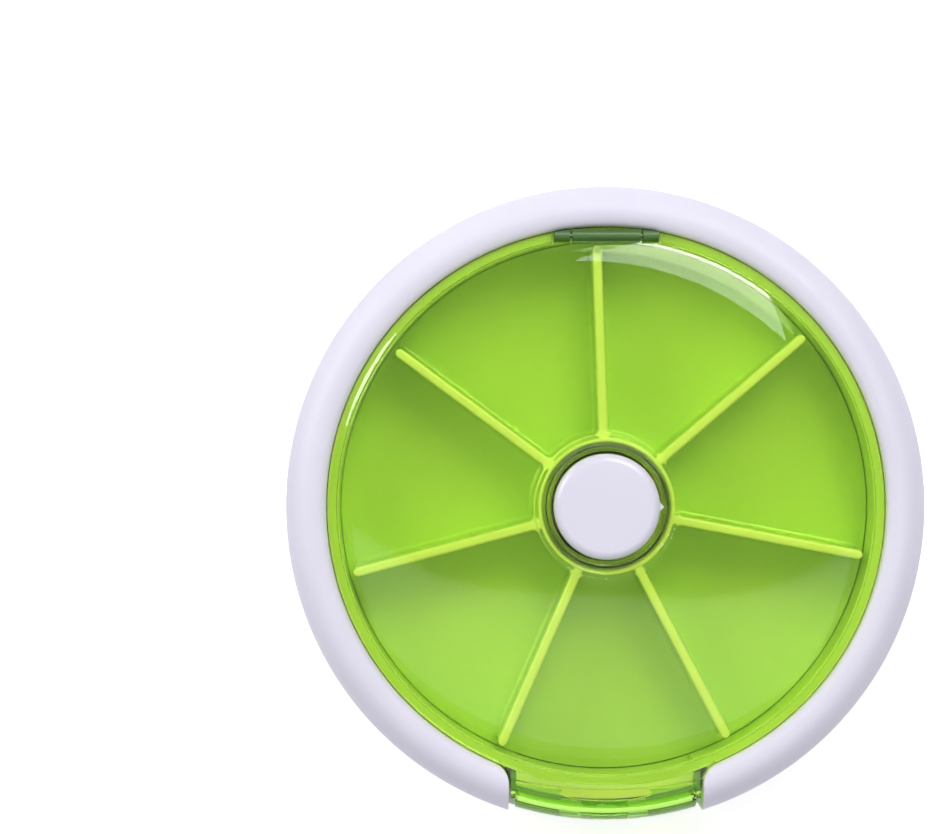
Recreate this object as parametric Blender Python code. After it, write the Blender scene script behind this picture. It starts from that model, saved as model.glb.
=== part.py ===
"""Rotating pill organizer: a round case with a wheel of compartments.

The wheel turns one step each time the centre button is pressed.
Lengths are in metres and +Z is up. The origin is the centre of the face that the case rests on.
The lid's hinge is at +Y and the dispensing door is at -Y.
"""

import math

import bmesh
import bpy
from mathutils import Matrix, Vector

# Clearances
SEAT_GAP = 0.0003
PIN_PLAY = 0.00008
CUT_OVERRUN = 0.0010
JOIN_DEPTH = 0.0004
MERGE_DISTANCE = 0.000008

# Facets round a full turn
ROUND_STEPS = 60
SMALL_STEPS = 24
PIN_STEPS = 16
CROWN_STEPS = 7
LID_STEPS = 9
SMOOTH_ANGLE = math.radians(32)

# Case: a floor with a low wall, and a ring with a rounded crown on top of it
CASE_RADIUS = 0.0450
FLOOR_THICKNESS = 0.0016
WALL_THICKNESS = 0.0014
FOOT_CHAMFER = 0.0010
LOWER_WALL_HEIGHT = 0.0064
RING_WIDTH = 0.0058
RING_WALL = 0.0011
RING_EDGE_RISE = 0.0009
RING_CREST_RISE = 0.0010
RING_CREST_INSET = 0.0020
RING_CROWN_DROP = 0.0055
GLIDE_RIB_INSET = 0.0068
GLIDE_RIB_WIDTH = 0.0012
GLIDE_RIB_HEIGHT = 0.0013

# Notch through the ring and the wall, in which the lid's tab and the door lie
NOTCH_HALF_WIDTH = 0.01365
NOTCH_FILLET = 0.0030
CHEEK_THICKNESS = 0.0011

# Fixed green wall round the wheel, and the chute behind the door
LINER_WALL = 0.0014
LINER_DROP = 0.0003
OUTLET_HALF_WIDTH = 0.0122
OUTLET_STEP_DOWN = 0.0004
OUTLET_HEAD = 0.0015
CHUTE_CHEEK = 0.0008
CHUTE_HEAD_GAP = 0.0002

# Wheel
TRAY_RUNNING_GAP = 0.0007
TRAY_FLOOR_THICKNESS = 0.0012
COMPARTMENT_COUNT = 7
COMPARTMENT_DEPTH = 0.0100
DIVIDER_THICKNESS = 0.0013
DIVIDER_END_GAP = 0.0003
TRAY_REST_TURN = math.radians(2.0)
HUB_WALL = 0.00115
HUB_MOUTH_GAP = 0.00045
HUB_MOUTH_STEP = 0.00015
HUB_RISE = 0.0006
HUB_LEDGE_REACH = 0.0006
HUB_LEDGE_THICKNESS = 0.0008
DIMPLE_RADIUS = 0.0009
DIMPLE_DEPTH = 0.0004

# Lid
LID_GAP = 0.0004
LID_THICKNESS = 0.0012
LID_SKIRT_HEIGHT = 0.0010
LID_EDGE_RISE = 0.0023
LID_CROWN_RISE = 0.0005
LID_EDGE_POWER = 8
LID_HOLE_GAP = 0.00043
LID_COLLAR_WALL = 0.0008
LID_COLLAR_DEPTH = 0.0014
LID_TAB_REACH = 0.0008
LID_TAB_EDGE_RADIUS = 0.0600
LID_TAB_THICKNESS = 0.0018
LID_TAB_ROOT_SHARE = 0.75

# Lid hinge: ears on the liner, a barrel on the lid, a steel pin through both
KNUCKLE_RADIUS = 0.0009
LID_PIN_RADIUS = 0.00035
LID_BARREL_HALF_LENGTH = 0.0048
LID_EAR_LENGTH = 0.0022
LID_HINGE_RISE = 0.0007
LID_HINGE_INSET = 0.00135
LID_EDGE_CUT_INSET = 0.0001
LID_ARM_ROOT = 0.0005

# Dispensing door
DOOR_END_GAP = 0.00095
DOOR_INSET = 0.0006
DOOR_WALL = 0.0014
DOOR_TOP_DROP = 0.0019
DOOR_EDGE_GAP = 0.00055
DOOR_FOOT_GAP = 0.0010
DOOR_SNAP_RADIUS = 0.0005
DOOR_SNAP_REACH = 0.0006
NAIL_RECESS_HALF_WIDTH = 0.0065
NAIL_RECESS_DEPTH = 0.0012
DOOR_KNUCKLE_RADIUS = 0.0010
DOOR_PIN_RADIUS = 0.0004
DOOR_BARREL_HALF_LENGTH = 0.0033
DOOR_LUG_LENGTH = 0.0024
DOOR_HINGE_HEIGHT = 0.0018

# Push button and the plunger under it
BUTTON_RADIUS = 0.00737
BUTTON_PROUD = 0.0010
BUTTON_TRAVEL = 0.0030
BUTTON_TOP_THICKNESS = 0.0014
BUTTON_SKIRT_WALL = 0.00117
BUTTON_SKIRT_DEPTH = 0.0058
BUTTON_EDGE_SHARES = ((0.0, 0.0), (0.55, 0.12), (0.86, 0.42), (1.0, 1.0))
BUTTON_EDGE_ROUND = 0.0012
KEY_REACH = 0.0006
KEY_HALF_WIDTH = 0.00045
PLUNGER_GAP = 0.0004
PLUNGER_BORE_HALF_SHARE = 0.54
PLUNGER_CEILING = 0.0013
LUG_RADIUS = 0.0007
LUG_INSET = 0.0004
LUG_SET_UP = 0.0040

# Drive: a fixed square spindle, and a collar that the plunger's lugs turn
SPINDLE_FLANGE_REACH = 0.0017
SPINDLE_FLANGE_THICKNESS = 0.0007
SPINDLE_SIDE_GAP = 0.00025
SPINDLE_ENGAGEMENT = 0.0021
COLLAR_WALL = 0.0017
COLLAR_LIP_THICKNESS = 0.0007
COLLAR_LIP_GAP = 0.0004
COLLAR_RIM = 0.0004
COLLAR_FLANGE_HEIGHT = 0.0031
COLLAR_FLANGE_THICKNESS = 0.0007
COLLAR_FLANGE_REACH = 0.0012
SLOT_COUNT = 2
SLOT_STEPS = 12
SLOT_HALF_HEIGHT = 0.00125
PAWL_COUNT = 3
PAWL_RING_WALL = 0.0005
PAWL_REACH = 0.00085
PAWL_THICKNESS = 0.0014
PAWL_TIP_GAP = 0.00035
PAWL_FACE_SHARE = 0.8
RATCHET_TEETH = 14
RATCHET_WALL = 0.0004
RATCHET_TOOTH_DEPTH = 0.0005
RATCHET_FACE_SHARE = 0.02
RATCHET_HEIGHT = 0.0022
RATCHET_FOOT_GAP = 0.0009
BEARING_RADIAL_THICKNESS = 0.0013
BEARING_HEIGHT = 0.0032

# Return spring, on the spindle's top inside the plunger
SPRING_WIRE_RADIUS = 0.00025
SPRING_SIDE_GAP = 0.0004
SPRING_TURNS = 6
SPRING_POINTS_A_TURN = 9

# Detent leaf under the wheel
LEAF_INSET = 0.0080
LEAF_DIRECTION = math.radians(45)
LEAF_LENGTH = 0.0140
LEAF_WIDTH = 0.0032
LEAF_THICKNESS = 0.00035
LEAF_BUMP_RADIUS = 0.00065
LEAF_BUMP_HALF_LENGTH_SHARE = 0.4
LEAF_END_SPACE = 0.0022
RIVET_RADIUS = 0.0006
RIVET_HEAD_RADIUS = 0.0012
RIVET_HEAD_THICKNESS = 0.00035
RIVET_DEPTH = 0.0009

# Screws, all driven from below
CASE_SCREW_DIRECTIONS = (90, 210, 330)
CASE_SCREW_HEAD_RADIUS = 0.0015
CASE_SCREW_RADIUS = 0.00075
CASE_SCREW_LENGTH = 0.0070
CASE_BOSS_WALL = 0.00072
CENTRE_SCREW_HEAD_RADIUS = 0.0022
CENTRE_SCREW_RADIUS = 0.0009
CENTRE_SCREW_LENGTH = 0.0055
SCREW_HEAD_THICKNESS = 0.0006
SCREW_RECESS_DEPTH = 0.0009
SCREW_HOLE_GAP = 0.0002
DRIVER_CROSS_HALF_WIDTH_SHARE = 0.16
DRIVER_CROSS_REACH_SHARE = 0.6
DRIVER_CROSS_DEPTH_SHARE = 0.5

# Heights, from the floor up
FLOOR_TOP = FLOOR_THICKNESS
FIXED_FOOT = FLOOR_TOP + SEAT_GAP
SEAM_HEIGHT = FLOOR_TOP + LOWER_WALL_HEIGHT
TRAY_BOTTOM = FLOOR_TOP + GLIDE_RIB_HEIGHT + SEAT_GAP
TRAY_FLOOR_TOP = TRAY_BOTTOM + TRAY_FLOOR_THICKNESS
DIVIDER_TOP = TRAY_FLOOR_TOP + COMPARTMENT_DEPTH
HUB_TOP = DIVIDER_TOP + HUB_RISE
LINER_TOP = DIVIDER_TOP - LINER_DROP
LID_FOOT = LINER_TOP + SEAT_GAP
LID_SHOULDER_FOOT = LID_FOOT + LID_SKIRT_HEIGHT
LID_CROWN_TOP = LID_SHOULDER_FOOT + LID_EDGE_RISE + LID_CROWN_RISE
BUTTON_TOP = LID_CROWN_TOP + BUTTON_PROUD
BUTTON_CEILING = BUTTON_TOP - BUTTON_TOP_THICKNESS
RING_EDGE_TOP = LID_FOOT + RING_EDGE_RISE
RING_CREST_TOP = RING_EDGE_TOP + RING_CREST_RISE
RING_SHOULDER = RING_CREST_TOP - RING_CROWN_DROP
SILL_TOP = TRAY_FLOOR_TOP - OUTLET_STEP_DOWN
OUTLET_TOP = LINER_TOP - OUTLET_HEAD

# Radii, from the outside in
RING_BORE_RADIUS = CASE_RADIUS - RING_WIDTH
RING_CREST_RADIUS = RING_BORE_RADIUS + RING_CREST_INSET
WALL_INNER_RADIUS = CASE_RADIUS - WALL_THICKNESS - SEAT_GAP
LID_RADIUS = RING_BORE_RADIUS - LID_GAP
LINER_RADIUS = RING_BORE_RADIUS - SEAT_GAP
LINER_INNER_RADIUS = LINER_RADIUS - LINER_WALL
TRAY_RADIUS = LINER_INNER_RADIUS - TRAY_RUNNING_GAP
DIVIDER_END_RADIUS = TRAY_RADIUS - DIVIDER_END_GAP
GLIDE_RIB_RADIUS = TRAY_RADIUS - GLIDE_RIB_INSET
LEAF_CIRCLE_RADIUS = GLIDE_RIB_RADIUS - LEAF_INSET
LID_HOLE_RADIUS = BUTTON_RADIUS + LID_HOLE_GAP
LID_COLLAR_RADIUS = LID_HOLE_RADIUS + LID_COLLAR_WALL
HUB_MOUTH_RADIUS = LID_COLLAR_RADIUS + HUB_MOUTH_GAP
HUB_BORE_RADIUS = HUB_MOUTH_RADIUS - HUB_MOUTH_STEP
HUB_RADIUS = HUB_MOUTH_RADIUS + HUB_WALL
RATCHET_RADIUS = HUB_BORE_RADIUS - SEAT_GAP
RATCHET_ROOT_RADIUS = RATCHET_RADIUS - RATCHET_WALL
RATCHET_TIP_RADIUS = RATCHET_ROOT_RADIUS - RATCHET_TOOTH_DEPTH
PAWL_RING_RADIUS = RATCHET_TIP_RADIUS - PAWL_TIP_GAP - PAWL_REACH
COLLAR_RADIUS = PAWL_RING_RADIUS - PAWL_RING_WALL - SEAT_GAP
COLLAR_BORE_RADIUS = COLLAR_RADIUS - COLLAR_WALL
SPINDLE_FLANGE_RADIUS = COLLAR_BORE_RADIUS - SEAT_GAP
SPINDLE_FOOT_RADIUS = SPINDLE_FLANGE_RADIUS - SPINDLE_FLANGE_REACH
PLUNGER_RADIUS = COLLAR_BORE_RADIUS - PLUNGER_GAP
PLUNGER_BORE_HALF = PLUNGER_RADIUS * PLUNGER_BORE_HALF_SHARE
SPINDLE_HALF_WIDTH = PLUNGER_BORE_HALF - SPINDLE_SIDE_GAP
SPRING_COIL_RADIUS = PLUNGER_BORE_HALF - SPRING_SIDE_GAP - SPRING_WIRE_RADIUS
BEARING_RADIUS = HUB_BORE_RADIUS - SEAT_GAP
BEARING_INNER_RADIUS = BEARING_RADIUS - BEARING_RADIAL_THICKNESS
CASE_BOSS_RADIUS = CASE_SCREW_RADIUS + PIN_PLAY + CASE_BOSS_WALL
CASE_SCREW_CIRCLE = WALL_INNER_RADIUS - SEAT_GAP - CASE_BOSS_RADIUS

# Heights inside the drive
COLLAR_LIP_TOP = FIXED_FOOT + COLLAR_LIP_THICKNESS
SPINDLE_FLANGE_FOOT = COLLAR_LIP_TOP + SEAT_GAP
SPINDLE_FLANGE_TOP = SPINDLE_FLANGE_FOOT + SPINDLE_FLANGE_THICKNESS
PLUNGER_FOOT = SPINDLE_FLANGE_TOP + SEAT_GAP + BUTTON_TRAVEL
SPINDLE_TOP = PLUNGER_FOOT + SPINDLE_ENGAGEMENT
PLUNGER_TOP = BUTTON_CEILING - SEAT_GAP
PLUNGER_BORE_TOP = PLUNGER_TOP - PLUNGER_CEILING
LUG_HEIGHT = PLUNGER_FOOT + LUG_SET_UP
STEP_ANGLE = math.tau / COMPARTMENT_COUNT
SLOT_MEAN_RADIUS = COLLAR_BORE_RADIUS + COLLAR_WALL / 2
SLOT_END_ANGLE = (LUG_RADIUS + SEAT_GAP) / SLOT_MEAN_RADIUS
SLOT_RISE_PER_RADIAN = BUTTON_TRAVEL / STEP_ANGLE
COLLAR_TOP = LUG_HEIGHT + SLOT_END_ANGLE * SLOT_RISE_PER_RADIAN + SLOT_HALF_HEIGHT + COLLAR_RIM
COLLAR_FLANGE_FOOT = FIXED_FOOT + COLLAR_FLANGE_HEIGHT
COLLAR_FLANGE_TOP = COLLAR_FLANGE_FOOT + COLLAR_FLANGE_THICKNESS
PAWL_FOOT = COLLAR_FLANGE_TOP + SEAT_GAP
RATCHET_FOOT = FLOOR_TOP + BEARING_HEIGHT + RATCHET_FOOT_GAP
HUB_LEDGE_FOOT = RATCHET_FOOT + RATCHET_HEIGHT + SEAT_GAP

# Places of the joints' axes
LID_HINGE_Y = RING_BORE_RADIUS - LID_HINGE_INSET
LID_HINGE_Z = RING_EDGE_TOP + LID_HINGE_RISE
LID_EAR_START = LID_BARREL_HALF_LENGTH + SEAT_GAP
LID_EAR_END = LID_EAR_START + LID_EAR_LENGTH
LID_EAR_SPACE_END = LID_EAR_END + SEAT_GAP
DOOR_OUTER_RADIUS = CASE_RADIUS - DOOR_INSET
DOOR_HINGE_Y = DOOR_KNUCKLE_RADIUS - DOOR_OUTER_RADIUS
DOOR_HINGE_Z = FLOOR_TOP + DOOR_HINGE_HEIGHT
DOOR_LUG_START = DOOR_BARREL_HALF_LENGTH + SEAT_GAP
DOOR_LUG_END = DOOR_LUG_START + DOOR_LUG_LENGTH

# Colours
WHITE_PLASTIC = (0.80, 0.78, 0.90)
GREEN_PLASTIC = (0.38, 0.70, 0.06)
CLEAR_GREEN = (0.45, 0.80, 0.10)
STEEL = (0.62, 0.63, 0.65)
DARK_STEEL = (0.35, 0.36, 0.38)


def clear_scene():
    """Removes what the scene holds."""
    for item in list(bpy.data.objects):
        bpy.data.objects.remove(item, do_unlink=True)


def plain_material(name, colour, roughness, metallic=0.0):
    """A Principled BSDF material in one colour."""
    material = bpy.data.materials.new(name)
    material.use_nodes = True
    shader = material.node_tree.nodes["Principled BSDF"]
    shader.inputs["Base Color"].default_value = (*colour, 1.0)
    shader.inputs["Roughness"].default_value = roughness
    shader.inputs["Metallic"].default_value = metallic
    material.diffuse_color = (*colour, 1.0)
    return material


def put_in_scene(name, bm, smooth=True):
    """Makes a bmesh into an object of the scene, with its faces pointing out."""
    bmesh.ops.recalc_face_normals(bm, faces=bm.faces)
    mesh = bpy.data.meshes.new(name)
    bm.to_mesh(mesh)
    bm.free()
    if smooth:
        mesh.shade_smooth()
        mesh.set_sharp_from_angle(angle=SMOOTH_ANGLE)
    item = bpy.data.objects.new(name, mesh)
    bpy.context.scene.collection.objects.link(item)
    return item


def turned(name, outline, steps=ROUND_STEPS):
    """A closed outline of (radius, height) points, turned once round Z."""
    bm = bmesh.new()
    points = [bm.verts.new((radius, 0, height)) for radius, height in outline]
    edges = [
        bm.edges.new((a, b))
        for a, b in zip(points, points[1:] + points[:1])
        if a.co.x + b.co.x > 0
    ]
    bmesh.ops.spin(
        bm,
        geom=points + edges,
        cent=(0, 0, 0),
        axis=(0, 0, 1),
        angle=math.tau,
        steps=steps,
        use_merge=True,
    )
    if min(radius for radius, _ in outline) <= 0:
        on_axis = [v for v in bm.verts if Vector((v.co.x, v.co.y)).length < MERGE_DISTANCE]
        bmesh.ops.remove_doubles(bm, verts=on_axis, dist=MERGE_DISTANCE)
    return put_in_scene(name, bm)


def prism(name, outline, low, high, smooth=True):
    """A closed outline of (x, y) points, extruded from one height to another."""
    bm = bmesh.new()
    face = bm.faces.new([bm.verts.new((x, y, low)) for x, y in outline])
    raised = bmesh.ops.extrude_face_region(bm, geom=[face])["geom"]
    corners = [item for item in raised if isinstance(item, bmesh.types.BMVert)]
    bmesh.ops.translate(bm, verts=corners, vec=(0, 0, high - low))
    return put_in_scene(name, bm, smooth)


def bar_along_x(name, outline, start, end):
    """A closed outline of (y, z) points, extruded along X."""
    bm = bmesh.new()
    face = bm.faces.new([bm.verts.new((start, y, z)) for y, z in outline])
    raised = bmesh.ops.extrude_face_region(bm, geom=[face])["geom"]
    corners = [item for item in raised if isinstance(item, bmesh.types.BMVert)]
    bmesh.ops.translate(bm, verts=corners, vec=(end - start, 0, 0))
    return put_in_scene(name, bm)


def upright_ear(name, start, end, axis, radius, foot):
    """A round head on an upright leg, seen along X: what carries one end of a hinge pin."""
    y, z = axis
    head = arc(axis, radius, 0, math.pi, PIN_STEPS // 2)
    return bar_along_x(name, [*head, (y - radius, foot), (y + radius, foot)], start, end)


def add_box(bm, low, high):
    """Adds a box between two corners to a bmesh."""
    low = Vector(low)
    high = Vector(high)
    size = Matrix.Diagonal((*(high - low), 1))
    bmesh.ops.create_cube(bm, size=1, matrix=Matrix.Translation((low + high) / 2) @ size)


def box(name, low, high):
    """A box between two corners."""
    bm = bmesh.new()
    add_box(bm, low, high)
    return put_in_scene(name, bm, smooth=False)


def add_rod(bm, start, end, radius, steps=PIN_STEPS):
    """Adds a round bar between two points to a bmesh."""
    start = Vector(start)
    end = Vector(end)
    turn = (end - start).to_track_quat("Z", "Y").to_matrix().to_4x4()
    bmesh.ops.create_cone(
        bm,
        cap_ends=True,
        segments=steps,
        radius1=radius,
        radius2=radius,
        depth=(end - start).length,
        matrix=Matrix.Translation((start + end) / 2) @ turn,
    )


def rod(name, start, end, radius, steps=PIN_STEPS):
    """A round bar between two points."""
    bm = bmesh.new()
    add_rod(bm, start, end, radius, steps)
    return put_in_scene(name, bm)


def combine(item, other, operation):
    """Joins, cuts or trims an object with another one, which is left as a wire guide."""
    other.hide_render = True
    other.display_type = "WIRE"
    step = item.modifiers.new(other.name, "BOOLEAN")
    step.operation = operation
    step.solver = "EXACT"
    step.object = other
    return item


def join(item, other):
    return combine(item, other, "UNION")


def cut(item, other):
    return combine(item, other, "DIFFERENCE")


def trim(item, other):
    return combine(item, other, "INTERSECT")


def arc(centre, radius, start, end, steps):
    """Points along an arc, its angles in radians."""
    turns = [start + (end - start) * i / steps for i in range(steps + 1)]
    return [
        (centre[0] + radius * math.cos(turn), centre[1] + radius * math.sin(turn))
        for turn in turns
    ]


def crown(inset, steps):
    """The ring's rounded top from its bore to its outer wall, moved inwards by a wall's thickness."""
    inner = RING_BORE_RADIUS + inset
    outer = CASE_RADIUS - inset
    rise = RING_CREST_TOP - RING_EDGE_TOP
    points = [
        (
            RING_CREST_RADIUS - (RING_CREST_RADIUS - inner) * math.cos(turn),
            RING_EDGE_TOP - inset + rise * math.sin(turn),
        )
        for turn in (math.pi / 2 * i / steps for i in range(steps))
    ]
    points += [
        (
            RING_CREST_RADIUS + (outer - RING_CREST_RADIUS) * math.sin(turn),
            RING_SHOULDER + (RING_CREST_TOP - inset - RING_SHOULDER) * math.cos(turn),
        )
        for turn in (math.pi / 2 * i / CROWN_STEPS for i in range(CROWN_STEPS + 1))
    ]
    return points


def notch_outline(gap, reach):
    """The notch seen from above, drawn in by a gap on every side, out to a distance from the centre."""
    half_width = NOTCH_HALF_WIDTH - gap
    fillet = NOTCH_FILLET + gap
    circle = RING_BORE_RADIUS - gap
    across = half_width + fillet
    down = math.sqrt((circle + fillet) ** 2 - across**2)
    left = arc((-across, -down), fillet, math.atan2(down, across), 0, CROWN_STEPS)
    right = [(-x, y) for x, y in reversed(left)]
    return [(-half_width, -reach), *reversed(left), *reversed(right), (half_width, -reach)]


def base_shell():
    """The case's floor and low outer wall, with the wheel's bearing and glide rib."""
    rib_outer = GLIDE_RIB_RADIUS + GLIDE_RIB_WIDTH
    rib_top = FLOOR_TOP + GLIDE_RIB_HEIGHT
    bearing_top = FLOOR_TOP + BEARING_HEIGHT
    wall_inner = CASE_RADIUS - WALL_THICKNESS
    hole = CENTRE_SCREW_RADIUS + SCREW_HOLE_GAP
    recess = CENTRE_SCREW_HEAD_RADIUS + SCREW_HOLE_GAP
    shell = turned(
        "base_shell",
        [
            (hole, SCREW_RECESS_DEPTH),
            (recess, SCREW_RECESS_DEPTH),
            (recess, 0),
            (CASE_RADIUS - FOOT_CHAMFER, 0),
            (CASE_RADIUS, FOOT_CHAMFER),
            (CASE_RADIUS, SEAM_HEIGHT),
            (wall_inner, SEAM_HEIGHT),
            (wall_inner, FLOOR_TOP),
            (rib_outer, FLOOR_TOP),
            (rib_outer, rib_top),
            (GLIDE_RIB_RADIUS, rib_top),
            (GLIDE_RIB_RADIUS, FLOOR_TOP),
            (BEARING_RADIUS, FLOOR_TOP),
            (BEARING_RADIUS, bearing_top),
            (BEARING_INNER_RADIUS, bearing_top),
            (BEARING_INNER_RADIUS, FLOOR_TOP),
            (hole, FLOOR_TOP),
        ],
    )
    reach = CASE_RADIUS + CUT_OVERRUN
    side = NOTCH_HALF_WIDTH
    above = SEAM_HEIGHT + CUT_OVERRUN
    cut(shell, box("wall_notch", (-side, -reach, FLOOR_TOP), (side, -RING_BORE_RADIUS / 2, above)))
    for number, place in enumerate(case_screw_places(), 1):
        hole = CASE_SCREW_RADIUS + SCREW_HOLE_GAP
        recess = CASE_SCREW_HEAD_RADIUS + SCREW_HOLE_GAP
        cutter = turned(
            f"case_screw_hole_{number}",
            [
                (0, -CUT_OVERRUN),
                (recess, -CUT_OVERRUN),
                (recess, SCREW_RECESS_DEPTH),
                (hole, SCREW_RECESS_DEPTH),
                (hole, FLOOR_TOP + CUT_OVERRUN),
                (0, FLOOR_TOP + CUT_OVERRUN),
            ],
            steps=PIN_STEPS,
        )
        cutter.location = (*place, 0)
        cut(shell, cutter)
    rivet = leaf_point(0)
    start = (*rivet, FLOOR_TOP - RIVET_DEPTH - SEAT_GAP)
    end = (*rivet, FLOOR_TOP + CUT_OVERRUN)
    cut(shell, rod("rivet_hole", start, end, RIVET_RADIUS + PIN_PLAY))
    return shell


def add_door_lugs(shell):
    """Two lugs on the floor's front edge that carry the door's pin."""
    for side, label in ((-1, "left"), (1, "right")):
        ends = sorted((side * DOOR_LUG_START, side * DOOR_LUG_END))
        foot = FLOOR_TOP - JOIN_DEPTH
        axis = (DOOR_HINGE_Y, DOOR_HINGE_Z)
        join(shell, upright_ear(f"door_lug_{label}", *ends, axis, DOOR_KNUCKLE_RADIUS, foot))
    cut(shell, hinge_bore("door_lug_bore", DOOR_HINGE_Y, DOOR_HINGE_Z, DOOR_LUG_END, DOOR_PIN_RADIUS))


def hinge_bore(name, y, z, half_length, pin_radius):
    """A cutter for the bore of a hinge along X."""
    reach = half_length + CUT_OVERRUN
    return rod(name, (-reach, y, z), (reach, y, z), pin_radius + PIN_PLAY)


def case_screw_places():
    """Where the case's screws stand, as (x, y) points."""
    turns = [math.radians(direction) for direction in CASE_SCREW_DIRECTIONS]
    return [(CASE_SCREW_CIRCLE * math.cos(turn), CASE_SCREW_CIRCLE * math.sin(turn)) for turn in turns]


def top_ring():
    """The white ring: a hollow crown with an inner wall, closed by a cheek on each side of the notch."""
    foot = FIXED_FOOT
    skirt_radius = WALL_INNER_RADIUS
    seam = SEAM_HEIGHT + SEAT_GAP
    ring = turned(
        "top_ring",
        [
            (RING_BORE_RADIUS, foot),
            *crown(0, 3),
            (CASE_RADIUS, seam),
            (skirt_radius, seam),
            (skirt_radius, foot),
        ],
    )
    hollow = turned(
        "ring_hollow",
        [
            (RING_BORE_RADIUS + RING_WALL, foot - CUT_OVERRUN),
            *crown(RING_WALL, 2),
            (CASE_RADIUS - RING_WALL, foot - CUT_OVERRUN),
        ],
    )
    reach = CASE_RADIUS + CUT_OVERRUN
    top = RING_CREST_TOP + CUT_OVERRUN
    cheeks = prism("ring_cheeks", notch_outline(-CHEEK_THICKNESS, reach), foot - CUT_OVERRUN * 2, top)
    cut(hollow, cheeks)
    for number, place in enumerate(case_screw_places(), 1):
        boss = rod(f"ring_boss_{number}", (*place, 0), (*place, top), CASE_BOSS_RADIUS)
        cut(hollow, boss)
    cut(ring, hollow)
    cut(ring, prism("ring_notch", notch_outline(0, reach), foot - CUT_OVERRUN, top))
    bm = bmesh.new()
    screw_top = FLOOR_TOP + CASE_SCREW_LENGTH + SEAT_GAP
    for place in case_screw_places():
        add_rod(bm, (*place, 0), (*place, screw_top), CASE_SCREW_RADIUS + PIN_PLAY)
    pocket_back = LID_HINGE_Y + KNUCKLE_RADIUS + SEAT_GAP
    low = (-LID_EAR_SPACE_END, RING_BORE_RADIUS / 2, LINER_TOP - JOIN_DEPTH - SEAT_GAP)
    add_box(bm, low, (LID_EAR_SPACE_END, pocket_back, top))
    cut(ring, put_in_scene("ring_holes", bm))
    return ring


def well_liner():
    """The fixed green wall round the wheel, with the outlet and the two ears of the lid's hinge."""
    liner = turned(
        "well_liner",
        [
            (LINER_INNER_RADIUS, FIXED_FOOT),
            (LINER_RADIUS, FIXED_FOOT),
            (LINER_RADIUS, LINER_TOP),
            (LINER_INNER_RADIUS, LINER_TOP),
        ],
    )
    side = OUTLET_HALF_WIDTH
    low = (-side, -LINER_RADIUS - CUT_OVERRUN, SILL_TOP)
    cut(liner, box("liner_outlet", low, (side, -LINER_INNER_RADIUS / 2, OUTLET_TOP)))
    for side, label in ((-1, "left"), (1, "right")):
        ends = sorted((side * LID_EAR_START, side * LID_EAR_END))
        foot = LINER_TOP - JOIN_DEPTH
        axis = (LID_HINGE_Y, LID_HINGE_Z)
        join(liner, upright_ear(f"lid_ear_{label}", *ends, axis, KNUCKLE_RADIUS, foot))
    cut(liner, hinge_bore("lid_ear_bore", LID_HINGE_Y, LID_HINGE_Z, LID_EAR_END, LID_PIN_RADIUS))
    return liner


def outlet_chute():
    """The short channel between the outlet and the door: a floor with a cheek at each end."""
    inner = LINER_RADIUS + SEAT_GAP
    outer = -DOOR_HINGE_Y - DOOR_KNUCKLE_RADIUS - SEAT_GAP
    cheek_top = OUTLET_TOP - CHUTE_HEAD_GAP
    half_width = NOTCH_HALF_WIDTH - SEAT_GAP
    chute = turned(
        "outlet_chute",
        [(inner, FIXED_FOOT), (outer, FIXED_FOOT), (outer, cheek_top), (inner, cheek_top)],
    )
    front = -CASE_RADIUS
    back = -inner / 2
    above = cheek_top + CUT_OVERRUN
    trim(chute, box("chute_width", (-half_width, front, 0), (half_width, back, above)))
    channel = half_width - CHUTE_CHEEK
    above += CUT_OVERRUN
    cut(chute, box("chute_channel", (-channel, front, SILL_TOP), (channel, back, above)))
    return chute


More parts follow.
